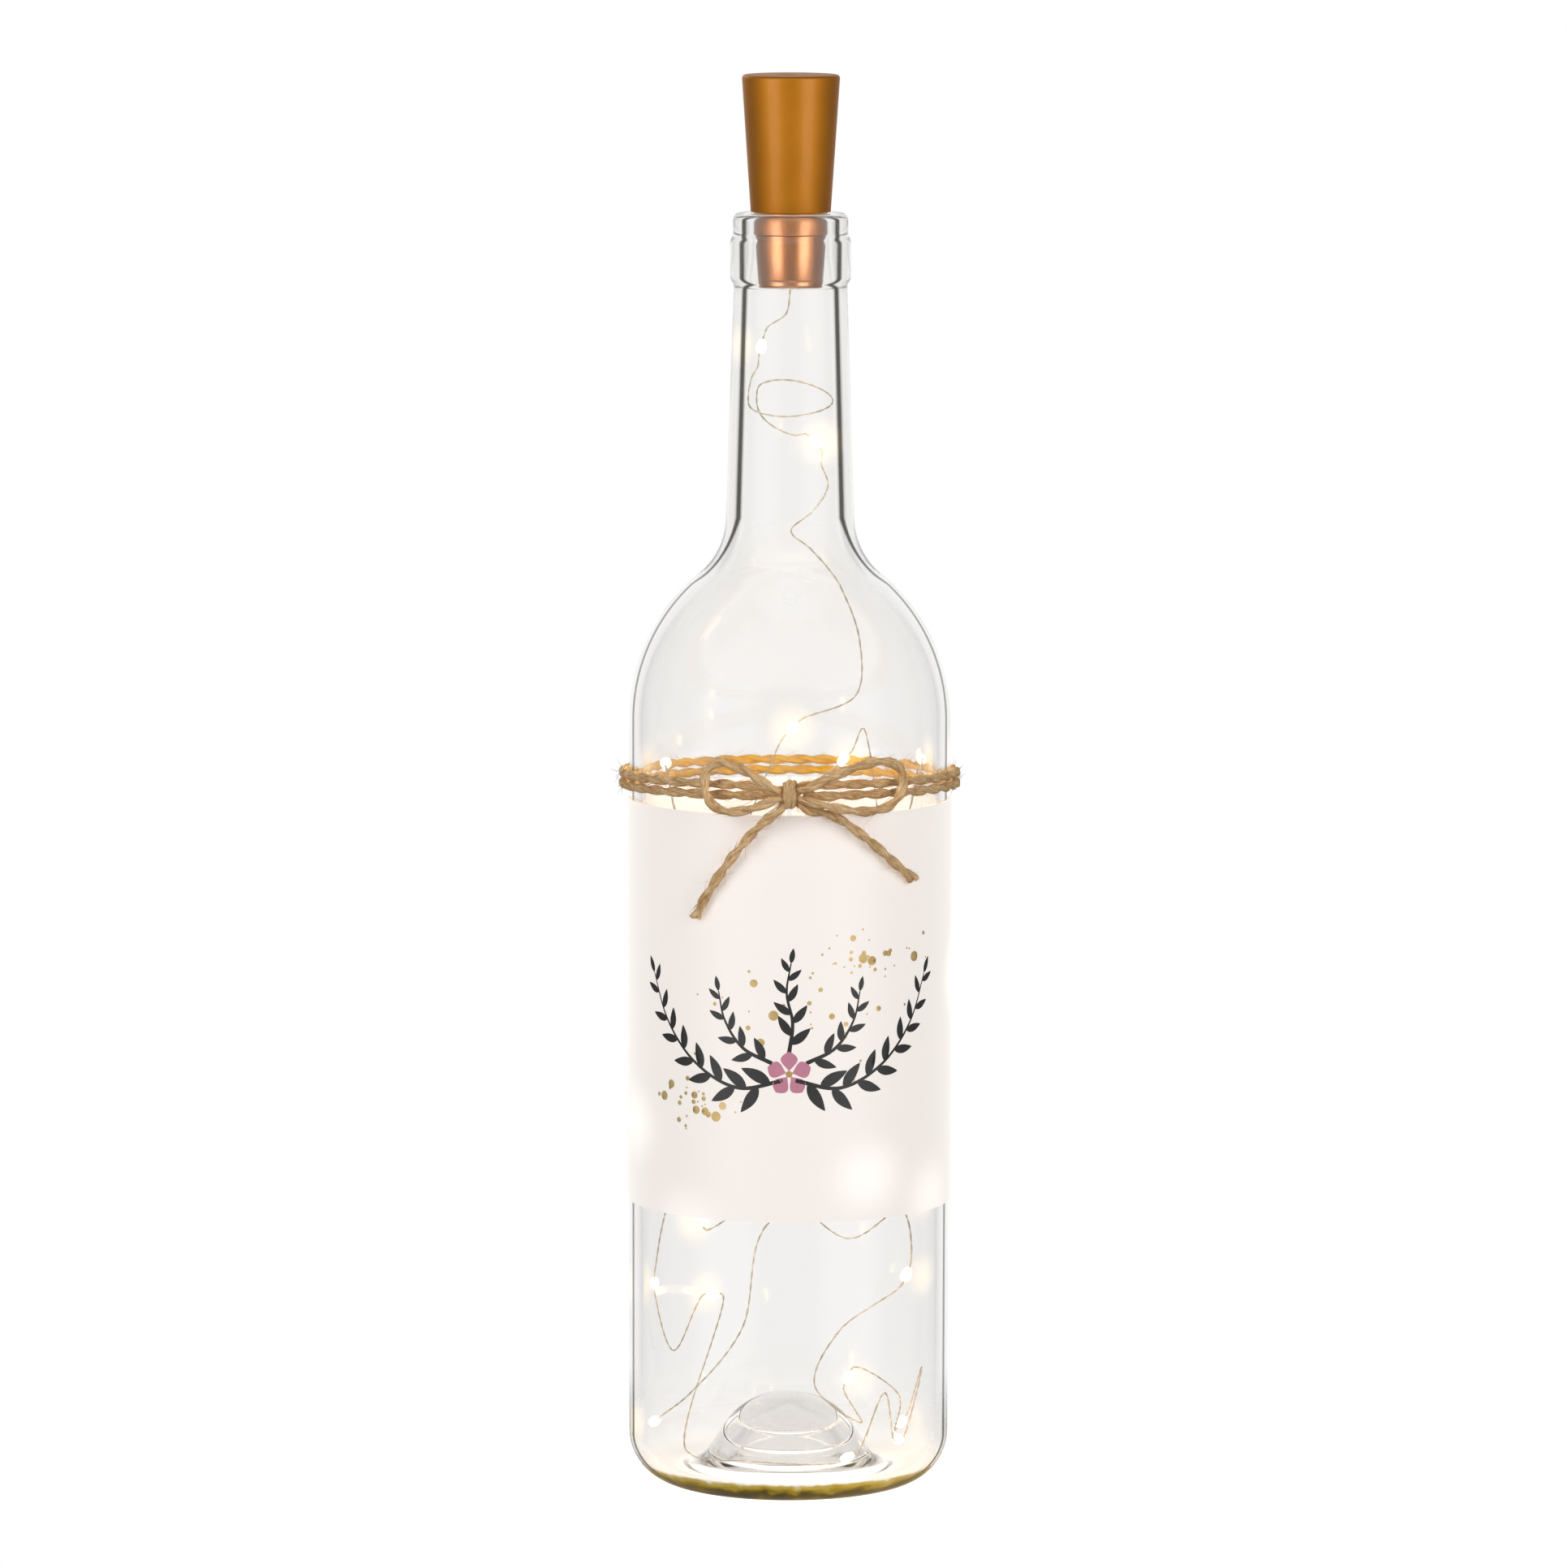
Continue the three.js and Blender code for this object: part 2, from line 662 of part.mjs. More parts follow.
addPiece('battery_carrier', batteryCarrier(), brownPlastic);

// Button cells, stacked with the small cap down
function buttonCell(bottom) {
  const edge = cellCapHeight / 2;
  return revolve([
    [0, bottom],
    [cellCapRadius, bottom],
    [cellCapRadius, bottom + cellCapHeight],
    [cellRadius - edge, bottom + cellCapHeight],
    [cellRadius, bottom + cellCapHeight + edge],
    [cellRadius, bottom + cellHeight - edge],
    [cellRadius - edge, bottom + cellHeight],
    [0, bottom + cellHeight],
  ], cellSegments);
}

for (let i = 0; i < cellCount; i += 1) {
  addPiece(`button_cell_${i + 1}`, buttonCell(stackBottom + i * (cellHeight + cellGap)), cellSteel);
}

// Contacts: a coil spring under the cells and a dimpled plate above them
const springStations = Array.from({ length: springTurns * springTurnSteps + 1 }, (_, i) => {
  const turn = i / springTurnSteps;
  return around(360 * turn, springRadius, cellFloorHeight + seatGap + springWire + springPitch * turn);
});
printLeastGap('contact_spring', springStations, springWire);
addPiece('contact_spring', tube(springStations, springWire, springSides), springSteel);

const plateBottom = stackTop + cellGap;
addPiece('contact_plate', revolve([
  [0, plateBottom],
  [dimpleRadius, plateBottom],
  [dimpleRadius + platePressing, plateBottom + platePressing],
  [plateRadius, plateBottom + platePressing],
  [plateRadius, plateBottom + plateHeight],
  [0, plateBottom + plateHeight],
], cellSegments), brassSheet);

// Circuit board with its two solder holes
const leadPlace = (cellRadius + looseGap + carrierRadius) / 2 - looseGap / 2;

function circuitBoard() {
  const outline = new THREE.Shape().absarc(0, 0, boardRadius, 0, 2 * Math.PI);
  for (const side of [-1, 1]) {
    const hole = new THREE.Path();
    hole.absarc((side * leadSpacing) / 2, leadPlace - 2 * leadRadius, leadRadius, 0, 2 * Math.PI, true);
    outline.holes.push(hole);
  }
  const options = { depth: boardThickness, curveSegments: boardSegments, bevelEnabled: false };
  return new THREE.ExtrudeGeometry(outline, options).translate(0, 0, boardHeight);
}

addPiece('circuit_board', circuitBoard(), boardGreen);

const resistorPlace = (caseWidth + resistorWidth) / 2 + looseGap;
addPiece('resistor', box(
  [-resistorLength / 2, -resistorPlace - resistorWidth / 2, caseBottom],
  [resistorLength / 2, -resistorPlace + resistorWidth / 2, caseBottom + resistorHeight],
), blackPlastic);

// Slide switch: a tin case and its slider, whose foot runs under the case's lid
const footWidth = caseWidth - 2 * caseWall - 2 * looseGap;
const footTop = caseBottom + caseHeight - caseWall - looseGap;

function switchCase() {
  const [x, y] = [caseLength / 2, caseWidth / 2];
  const outline = new THREE.Shape([
    [-x + caseEdge, -y], [x - caseEdge, -y], [x, -y + caseEdge], [x, y - caseEdge],
    [x - caseEdge, y], [-x + caseEdge, y], [-x, y - caseEdge], [-x, -y + caseEdge],
  ].map(([u, v]) => new THREE.Vector2(u, v)));
  const block = new THREE.ExtrudeGeometry(outline, { depth: caseHeight, bevelEnabled: false })
    .translate(0, 0, caseBottom);
  const roomHalf = (sliderFootLength + sliderTravel) / 2 + looseGap;
  const room = box(
    [slotMiddle - roomHalf, -caseWidth / 2 + caseWall, footTop - sliderFootHeight - looseGap],
    [slotMiddle + roomHalf, caseWidth / 2 - caseWall, caseBottom + caseHeight - caseWall],
  );
  const lidHalf = (knobLength + sliderTravel) / 2 + looseGap;
  const lidSlot = box(
    [slotMiddle - lidHalf, -knobWidth / 2 - looseGap, footTop],
    [slotMiddle + lidHalf, knobWidth / 2 + looseGap, caseBottom + 2 * caseHeight],
  );
  return cut(block, room, lidSlot);
}

function switchSlider() {
  const foot = box(
    [knobStart - sliderFootLength / 2, -footWidth / 2, footTop - sliderFootHeight],
    [knobStart + sliderFootLength / 2, footWidth / 2, footTop],
  );
  const knob = box(
    [knobStart - knobLength / 2, -knobWidth / 2, footTop - sliderFootHeight / 2],
    [knobStart + knobLength / 2, knobWidth / 2, stopperTopHeight - knobRecess],
  );
  return join(foot, knob);
}

addPiece('switch_case', switchCase(), switchTin);
addPiece('switch_slider', switchSlider(), blackPlastic);

// Leads from the board down the carrier's slot to the seal in the plug
const sealTop = plugBottomHeight + plugFloor;
const sealBottom = sealTop - sealLength;

function lead(side) {
  const x = (side * leadSpacing) / 2;
  const bend = plugTopHeight + plugFloor;
  const places = [
    [leadPlace, boardHeight - looseGap],
    [leadPlace, (boardHeight + bend) / 2],
    [leadPlace, bend + 2 * leadSpacing],
    [leadPlace * leadBends[0], bend],
    [leadPlace * leadBends[1], (bend + sealTop) / 2],
    [0, sealTop + 2 * leadSpacing],
    [0, sealTop + looseGap],
  ].map(([y, z]) => new THREE.Vector3(x, y, z));
  const curve = new THREE.CatmullRomCurve3(places, false, 'centripetal');
  return tube(curve.getPoints(leadSteps), leadRadius, leadSides);
}

addPiece('feed_lead', lead(-1), redInsulation);
addPiece('return_lead', lead(1), blackPlastic);
addPiece('wire_seal', revolve([
  [0, sealBottom],
  [sealRadius / 2, sealBottom],
  [sealRadius, sealBottom + sealRadius / 2],
  [sealRadius, sealTop],
  [0, sealTop],
], sealSegments), sealResin);

// Light string: one route from the seal through the neck to the floor of the bottle
const route = [
  { place: new THREE.Vector3(0, 0, sealBottom - looseGap), light: 0 },
  ...[...leadRoute, ...neckRoute, ...bodyRoute].map(([angle, inset, height, light]) =>
    ({ place: around(angle, boreAt(height) - inset, height), light })),
];
const routeCurve = new THREE.CatmullRomCurve3(route.map((point) => point.place), false, 'centripetal');
const lightReach = lightLength / 2 + wireStub;
const stations = [];
const lights = [];
route.forEach((point, i) => {
  const share = i / (route.length - 1);
  if (point.light) {
    const direction = routeCurve.getTangent(share).normalize();
    const reach = direction.clone().multiplyScalar(lightReach);
    lights.push({ place: point.place, direction, before: stations.length, after: stations.length + 1 });
    stations.push(point.place.clone().sub(reach), point.place.clone().add(reach));
  } else {
    stations.push(point.place);
  }
  const next = route[i + 1];
  if (next && next.place.distanceTo(point.place) > longSpan) {
    stations.push(routeCurve.getPoint((i + 0.5) / (route.length - 1)));
  }
});

// The stretch between the first two lights gives way when the stopper is drawn, so it is its own piece
const [first, second] = lights;
const gapAlong = (light, sign) => light.direction.clone().multiplyScalar(sign * looseGap);
const leadIn = stations.slice(0, first.after + 1);
const neckRun = [
  stations[first.after].clone().add(gapAlong(first, 1)),
  ...stations.slice(first.after + 1, second.before),
  stations[second.before].clone().add(gapAlong(second, -1)),
];
const bodyRun = stations.slice(second.before);
printLeastGap('neck_wire', neckRun, wireRadius);
printLeastGap('light_wire', bodyRun, wireRadius);
addPiece('lead_in_wire', tube(leadIn, wireRadius, wireSides), copperWire);
addPiece('neck_wire', tube(neckRun, wireRadius, wireSides), copperWire);
addPiece('light_wire', tube(bodyRun, wireRadius, wireSides), copperWire);

// Lights: a drop of clear resin round the wire
function lightBead() {
  const bore = wireRadius + looseGap;
  const endRadius = THREE.MathUtils.lerp(bore, lightRadius, lightEnd);
  const half = lightLength / 2;
  const profile = [
    [bore, -half],
    [endRadius, -half],
    [lightRadius, -lightBelly * half],
    [lightRadius, lightBelly * half],
    [endRadius, half],
    [bore, half],
    [bore, -half],
  ];
  return revolve(profile, lightSegments);
}

lights.forEach((light, i) => {
  const bead = addPiece(`led_${String(i + 1).padStart(2, '0')}`, lightBead(), warmLight);
  bead.position.copy(light.place);
  bead.quaternion.setFromUnitVectors(new THREE.Vector3(0, 0, 1), light.direction);
});

export default bottleLight;
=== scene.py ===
import math
import random

import bmesh
import bpy
from mathutils import Matrix, Vector, noise


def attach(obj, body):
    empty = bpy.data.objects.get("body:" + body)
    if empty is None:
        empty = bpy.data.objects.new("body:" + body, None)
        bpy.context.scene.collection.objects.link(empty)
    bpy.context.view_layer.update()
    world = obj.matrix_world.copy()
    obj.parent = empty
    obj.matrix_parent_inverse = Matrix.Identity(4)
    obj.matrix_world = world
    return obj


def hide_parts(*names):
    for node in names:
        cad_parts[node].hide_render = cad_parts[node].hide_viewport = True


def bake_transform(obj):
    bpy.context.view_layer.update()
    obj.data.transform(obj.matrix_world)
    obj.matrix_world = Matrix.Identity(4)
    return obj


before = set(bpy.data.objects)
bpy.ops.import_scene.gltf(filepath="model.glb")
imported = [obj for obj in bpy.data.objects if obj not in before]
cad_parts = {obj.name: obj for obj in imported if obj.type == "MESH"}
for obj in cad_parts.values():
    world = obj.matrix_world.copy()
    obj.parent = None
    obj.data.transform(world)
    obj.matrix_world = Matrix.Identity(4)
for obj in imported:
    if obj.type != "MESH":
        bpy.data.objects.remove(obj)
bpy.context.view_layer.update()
scene = bpy.context.scene
mm = 0.001
print("frame loaded with", len(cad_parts), "solids")


# Camera, set for a 1931 by 1932 picture
cameraSettings = {
    "place": (-0.00143, -2.212, 0.4417), "target": (-0.00143, 0.0, 0.1662),
    "lens": 217.45, "sensor": 36, "clip": (0.05, 60), "roll": 0.11,  # the roll is in degrees
}


def addObject(name, data):
    made = bpy.data.objects.new(name, data)
    scene.collection.objects.link(made)
    return made


def addCamera(s):
    data = bpy.data.cameras.new("photoCamera")
    data.lens = s["lens"]
    data.sensor_width = s["sensor"]
    data.sensor_fit = "HORIZONTAL"
    data.clip_start, data.clip_end = s["clip"]
    place, target = Vector(s["place"]), Vector(s["target"])
    turn = (target - place).to_track_quat("-Z", "Y").to_matrix().to_4x4()
    roll = Matrix.Rotation(math.radians(s["roll"]), 4, "Z")
    scene.camera = addObject("photoCamera", data)
    scene.camera.matrix_world = Matrix.Translation(place) @ turn @ roll


addCamera(cameraSettings)
print("camera placed")


# Node helpers
def tint(code):
    parts = [int(code[i:i + 2], 16) / 255 for i in (1, 3, 5)]
    return (*[p / 12.92 if p <= 0.04045 else ((p + 0.055) / 1.055) ** 2.4 for p in parts], 1)


def grey(value):
    return (value, value, value, 1)


# Each input takes a plain value, or the socket that feeds it
def setInputs(node, inputs):
    for key, value in inputs.items():
        if isinstance(value, bpy.types.NodeSocket):
            node.id_data.links.new(value, node.inputs[key])
        else:
            node.inputs[key].default_value = value


def addNode(tree, kind, inputs=None, **settings):
    made = tree.nodes.new(kind)
    for key, value in settings.items():
        setattr(made, key, value)
    setInputs(made, inputs or {})
    return made


# The node tree that a socket among the values belongs to
def treeOf(*values):
    return next(value for value in values if isinstance(value, bpy.types.NodeSocket)).id_data


def reckon(operation, *values):
    inputs = dict(enumerate(values))
    return addNode(treeOf(*values), "ShaderNodeMath", inputs, operation=operation).outputs["Value"]


def times(first, second):
    return reckon("MULTIPLY", first, second)


def oneLess(value):
    return reckon("SUBTRACT", 1.0, value)


def remap(value, span, ends=(0.0, 1.0), curve="LINEAR"):
    inputs = {"Value": value, "From Min": span[0], "From Max": span[1], "To Min": ends[0], "To Max": ends[1]}
    return addNode(treeOf(value), "ShaderNodeMapRange", inputs, interpolation_type=curve).outputs["Result"]


def addNoise(space, scale, detail, roughness=0.5):
    inputs = {"Vector": space, "Scale": scale, "Detail": detail, "Roughness": roughness}
    return addNode(treeOf(space), "ShaderNodeTexNoise", inputs).outputs["Fac"]


# Stops are places with hex colours or grey values
def addRamp(value, stops):
    ramp = addNode(treeOf(value), "ShaderNodeValToRGB", {"Fac": value})
    band = ramp.color_ramp
    while len(band.elements) < len(stops):
        band.elements.new(0.5)
    for element, (place, colour) in zip(band.elements, stops):
        element.position = place
        element.color = tint(colour) if isinstance(colour, str) else grey(colour)
    return ramp.outputs["Color"]


def mixColours(factor, first, second, blend="MIX"):
    inputs = {0: factor, 6: first, 7: second}
    return addNode(treeOf(first), "ShaderNodeMix", inputs, data_type="RGBA", blend_type=blend).outputs[2]


def mixValues(factor, first, second):
    inputs = {0: factor, 2: first, 3: second}
    return addNode(treeOf(factor), "ShaderNodeMix", inputs, data_type="FLOAT").outputs[0]


def mixSurface(factor, first, second):
    tree = treeOf(factor)
    mix = addNode(tree, "ShaderNodeMixShader", {0: factor, 1: first, 2: second})
    setInputs(tree.nodes["Material Output"], {"Surface": mix.outputs["Shader"]})


# Lets lamps shine through a surface
def passLamps(shader, colour):
    path = addNode(shader.id_data, "ShaderNodeLightPath")
    clear = addNode(shader.id_data, "ShaderNodeBsdfTransparent", {"Color": colour})
    mixSurface(path.outputs["Is Shadow Ray"], shader.outputs["BSDF"], clear.outputs["BSDF"])


def objectSpace(tree):
    return addNode(tree, "ShaderNodeTexCoord").outputs["Object"]


def splitAxes(space):
    return addNode(treeOf(space), "ShaderNodeSeparateXYZ", {"Vector": space}).outputs


def lengthOf(vector):
    return addNode(treeOf(vector), "ShaderNodeVectorMath", {0: vector}, operation="LENGTH").outputs["Value"]


def axisDistance(space):
    flat = addNode(treeOf(space), "ShaderNodeVectorMath", {0: space, 1: (1, 1, 0)}, operation="MULTIPLY")
    return lengthOf(flat.outputs["Vector"])


def newFinish(name, colour, roughness, metallic=0.0):
    finish = bpy.data.materials.new(name)
    finish.use_nodes = True
    shader = finish.node_tree.nodes["Principled BSDF"]
    setInputs(shader, {"Base Color": colour, "Roughness": roughness, "Metallic": metallic})
    return finish, finish.node_tree, shader


def addBump(shader, height, strength, distance):
    inputs = {"Strength": strength, "Distance": distance, "Height": height}
    setInputs(shader, {"Normal": addNode(shader.id_data, "ShaderNodeBump", inputs).outputs["Normal"]})


# A moulded, plated or sprayed surface: slight mottling, uneven gloss and fine grain
grainSettings = {
    "mottleSize": 6, "mottle": (4.0, 0.6), "grain": (3.0, 0.6),  # detail and roughness of the two noises
    "dark": 0.3, "light": 0.68, "smoother": 0.06, "rougher": 0.08, "bump": 0.0002,
}


def grainFinish(name, light, dark, roughness, metallic, size, depth=0.12):
    s = grainSettings
    finish, tree, shader = newFinish(name, tint(light), roughness, metallic)
    space = objectSpace(tree)
    mottle = addNoise(space, size / s["mottleSize"], *s["mottle"])
    grain = addNoise(space, size, *s["grain"])
    gloss = remap(grain, (0.0, 1.0), (roughness - s["smoother"], roughness + s["rougher"]))
    colour = addRamp(mottle, ((s["dark"], dark), (s["light"], light)))
    setInputs(shader, {"Base Color": colour, "Roughness": gloss})
    addBump(shader, grain, depth, s["bump"])
    return finish


# Mesh helpers, in millimetres up to the finished vertices
meshSettings = {
    "sharp": 35.0, "weld": 1e-7, "least": 1e-6, "uvScale": 0.1,  # the strands' UV runs in centimetres
    "cornerAngle": 14.0, "cornerShare": 0.45, "cornerSteps": 4,
}


def addMesh(name, bm):
    mesh = bpy.data.meshes.new(name)
    bm.to_mesh(mesh)
    bm.free()
    return addObject(name, mesh)


def shadeSmooth(mesh, sharp):
    mesh.shade_smooth()
    mesh.set_sharp_from_angle(angle=math.radians(sharp))


def addPiece(name, bm, finish, body, stands=(), sharp=meshSettings["sharp"]):
    piece = addMesh(name, bm)
    piece.data.materials.append(finish)
    shadeSmooth(piece.data, sharp)
    if body:
        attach(piece, body)
    if stands:
        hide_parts(*stands)
    return piece


def shares(count):
    return [i / count for i in range(count + 1)]


def spoke(side, other, angle):
    return side * math.cos(angle) + other * math.sin(angle)


def arcPoints(centreRadius, centreHeight, radius, start, end, steps):
    turns = [math.radians(start + (end - start) * i / steps) for i in range(steps + 1)]
    return [(centreRadius + radius * math.cos(t), centreHeight + radius * math.sin(t)) for t in turns]


# Rounds the sharp corners of a profile
def softenCorners(profile, reach):
    s = meshSettings
    soft = [profile[0]]
    for before, corner, after in zip(profile, profile[1:], profile[2:]):
        a, b, c = Vector(before), Vector(corner), Vector(after)
        short = min((b - a).length, (c - b).length) < s["least"]
        if short or (b - a).angle(c - b) < math.radians(s["cornerAngle"]):
            soft.append(corner)
            continue
        reaches = [min(reach, s["cornerShare"] * (p - b).length) for p in (a, c)]
        start, end = [b + (p - b).normalized() * length for p, length in zip((a, c), reaches)]
        for t in shares(s["cornerSteps"]):
            soft.append(tuple(start * (1 - t) ** 2 + b * 2 * t * (1 - t) + end * t * t))
    return soft + [profile[-1]]


def faceOut(bm):
    bmesh.ops.recalc_face_normals(bm, faces=bm.faces)
    return bm


def weldSpin(bm):
    bmesh.ops.remove_doubles(bm, verts=bm.verts, dist=meshSettings["weld"])
    return faceOut(bm)


def spinProfile(profile, turns):
    bm = bmesh.new()
    verts = [bm.verts.new((radius * mm, 0, height * mm)) for radius, height in profile]
    edges = [bm.edges.new(pair) for pair in zip(verts, verts[1:])]
    bmesh.ops.spin(bm, geom=verts + edges, cent=(0, 0, 0), axis=(0, 0, 1), dvec=(0, 0, 0),
                   angle=math.tau, steps=turns, use_merge=True)
    return weldSpin(bm)


# Place round the bottle: angle from the front in degrees, distance from the axis, height
def aroundPoint(angle, radius, height):
    turn = math.radians(angle)
    return Vector((radius * math.sin(turn), -radius * math.cos(turn), height))


def smoothStep(value, low, high):
    t = min(max((value - low) / (high - low), 0.0), 1.0)
    return t * t * (3 - 2 * t)


def withEnds(points):
    return [points[0] * 2 - points[1], *points, points[-1] * 2 - points[-2]]


def rootGap(first, second):
    return max((second - first).length, meshSettings["least"]) ** 0.5


def tangentAt(p0, p1, p2):
    d0, d1 = rootGap(p0, p1), rootGap(p1, p2)
    return (p1 - p0) / d0 - (p2 - p0) / (d0 + d1) + (p2 - p1) / d1


# Centripetal curve through the points, with a place every step or so
def smoothPath(points, step):
    ends = withEnds(points)
    path = []
    for p0, p1, p2, p3 in zip(ends, ends[1:], ends[2:], ends[3:]):
        t1, t2 = [tangentAt(*trio) * rootGap(p1, p2) for trio in ((p0, p1, p2), (p1, p2, p3))]
        square = p2 * 3 - p1 * 3 - t1 * 2 - t2
        cube = p1 * 2 - p2 * 2 + t1 + t2
        count = max(int((p2 - p1).length / step), 1)
        for t in shares(count)[:-1]:
            path.append(p1 + t1 * t + square * t ** 2 + cube * t ** 3)
    return path + [points[-1]]


def directionAt(path, i):
    return (path[min(i + 1, len(path) - 1)] - path[max(i - 1, 0)]).normalized()


# Frames carried along a path without twist: place, tangent, side, other side and distance along
def pathFrames(path):
    frames, along = [], 0.0
    side = Vector((0, 0, 1))
    for i, place in enumerate(path):
        tangent = directionAt(path, i)
        side = side - tangent * side.dot(tangent)
        if side.length < 1e-4:
            side = tangent.orthogonal()
        side.normalize()
        if i:
            along += (place - path[i - 1]).length
        frames.append((place, tangent, side.copy(), tangent.cross(side), along))
    return frames


# One strand of a cord: rings of points, closed at both ends, with its own UV map
def addStrand(bm, rings, lengths, uvMap, row):
    sides = len(rings[0])
    loops = [[bm.verts.new(point * mm) for point in ring] for ring in rings]
    for i in range(len(loops) - 1):
        for j in range(sides):
            k = (j + 1) % sides
            face = bm.faces.new((loops[i][j], loops[i][k], loops[i + 1][k], loops[i + 1][j]))
            corners = ((i, j), (i, j + 1), (i + 1, j + 1), (i + 1, j))
            for loop, (a, b) in zip(face.loops, corners):
                loop[uvMap].uv = (lengths[a] * meshSettings["uvScale"], row + b / sides)
    bm.faces.new(loops[0][::-1])
    bm.faces.new(loops[-1])


# Bottle glass
bottleSettings = {
    "bodyRadius": 37.75, "bodyHeight": 181.5, "wall": 3.1, "heelRadius": 12.0, "standWidth": 2.5,
    "puntDepth": 15.5, "puntRings": (16.0, 11.4, 8.8), "puntStep": 0.7, "baseThickness": 5.5,
    "domePoints": ((22.6, 4.2), (19.2, 7.2), (16.2, 11.8), (12.6, 16.4), (7.6, 19.6)),  # base from inside
    "domeStep": 0.9, "domeEnd": 0.2, "shoulderRadius": 44.5, "neckFillet": 17.75,
    "neckFootRadius": 15.05, "neckTopRadius": 13.3, "neckLength": 54.4, "ringRadius": 14.15,
    "ringHeight": 11.6, "ringEdge": 1.3, "lipRadius": 13.5, "lipHeight": 5.2, "lipRound": 1.6,
    "mouthRadius": 9.1, "mouthChamfer": 0.4, "mouthDepth": 10.0, "throatRadius": 10.3,
    "turns": 144, "softEdge": 0.7, "sharp": 50, "heelSteps": 14, "shoulderSteps": 24, "neckSteps": 14,
    "lipSteps": 6,
}


def bottleHeights(s):
    filletCentre = s["neckFootRadius"] + s["neckFillet"]
    shoulderCentre = s["bodyRadius"] - s["shoulderRadius"]
    reach = s["shoulderRadius"] + s["neckFillet"]
    rise = math.sqrt(reach ** 2 - (filletCentre - shoulderCentre) ** 2)
    foot = s["bodyHeight"] + rise
    return {
        "filletCentre": filletCentre, "shoulderCentre": shoulderCentre, "neckFoot": foot,
        "sweep": math.degrees(math.atan2(rise, filletCentre - shoulderCentre)),
        "neckTop": foot + s["neckLength"], "ringTop": foot + s["neckLength"] + s["ringHeight"],
        "rim": foot + s["neckLength"] + s["ringHeight"] + s["lipHeight"],
    }


def bottleProfile(s):
    h = bottleHeights(s)
    standOuter = s["bodyRadius"] - s["heelRadius"]
    standInner = standOuter - s["standWidth"]
    rings = len(s["puntRings"])
    puntRise = (s["puntDepth"] - rings * s["puntStep"]) / (rings + 1)
    hollow = [(0, s["puntDepth"])]
    for i in reversed(range(rings)):
        low = (i + 1) * puntRise + i * s["puntStep"]
        hollow += [(s["puntRings"][i], low + s["puntStep"]), (s["puntRings"][i], low)]
    heel = (standOuter, s["heelRadius"])
    shoulder = (h["shoulderCentre"], s["bodyHeight"])
    fillet = (h["filletCentre"], h["neckFoot"])
    lip = (s["lipRadius"] - s["lipRound"], h["rim"] - s["lipRound"])
    outside = [
        *arcPoints(*heel, s["heelRadius"], -90, 0, s["heelSteps"]),
        *arcPoints(*shoulder, s["shoulderRadius"], 0, h["sweep"], s["shoulderSteps"]),
        *arcPoints(*fillet, s["neckFillet"], 180 + h["sweep"], 180, s["neckSteps"])[1:],
        (s["neckTopRadius"], h["neckTop"]),
        (s["ringRadius"], h["neckTop"] + s["ringEdge"]),
        (s["ringRadius"], h["ringTop"] - 2 * (s["ringRadius"] - s["lipRadius"])),
        (s["lipRadius"], h["ringTop"]),
        *arcPoints(*lip, s["lipRound"], 0, 90, s["lipSteps"]),
    ]
    inside = [
        (s["mouthRadius"] + s["mouthChamfer"], h["rim"]),
        (s["mouthRadius"], h["rim"] - s["mouthChamfer"]),
        (s["mouthRadius"], h["rim"] - s["mouthDepth"]),
        (s["throatRadius"], h["neckTop"] - s["ringEdge"]),
        *arcPoints(*fillet, s["neckFillet"] + s["wall"], 180, 180 + h["sweep"], s["neckSteps"]),
        *arcPoints(*shoulder, s["shoulderRadius"] - s["wall"], h["sweep"], 0, s["shoulderSteps"])[1:],
        *arcPoints(*heel, s["heelRadius"] - s["wall"], 0, -90, s["heelSteps"]),
    ]
    top = s["puntDepth"] + s["baseThickness"]
    lastRadius, lastHeight = s["domePoints"][-1]
    dome = [(standOuter, s["wall"]), *s["domePoints"], (0, top), (-lastRadius, lastHeight)]
    curve = smoothPath([Vector((r, 0, z)) for r, z in dome], s["domeStep"])
    inside += [(p.x, p.z) for p in curve[1:] if p.x > s["domeEnd"]] + [(0, top)]
    return softenCorners([*hollow, (standInner, 0), *outside, *inside], s["softEdge"])


# Inside radius of the glass at a height
def boreAt(height):
    s, h = bottleSettings, bottleHeights(bottleSettings)
    if height < s["heelRadius"]:
        reach = (s["heelRadius"] - s["wall"]) ** 2 - (s["heelRadius"] - height) ** 2
        return s["bodyRadius"] - s["heelRadius"] + math.sqrt(max(reach, 0))
    if height <= s["bodyHeight"]:
        return s["bodyRadius"] - s["wall"]
    if height < s["bodyHeight"] + s["shoulderRadius"] * math.sin(math.radians(h["sweep"])):
        reach = (s["shoulderRadius"] - s["wall"]) ** 2 - (height - s["bodyHeight"]) ** 2
        return h["shoulderCentre"] + math.sqrt(reach)
    if height < h["neckFoot"]:
        reach = (s["neckFillet"] + s["wall"]) ** 2 - (h["neckFoot"] - height) ** 2
        return h["filletCentre"] - math.sqrt(reach)
    share = min((height - h["neckFoot"]) / s["neckLength"], 1)
    foot = s["neckFootRadius"] - s["wall"]
    return foot + (s["throatRadius"] - foot) * share


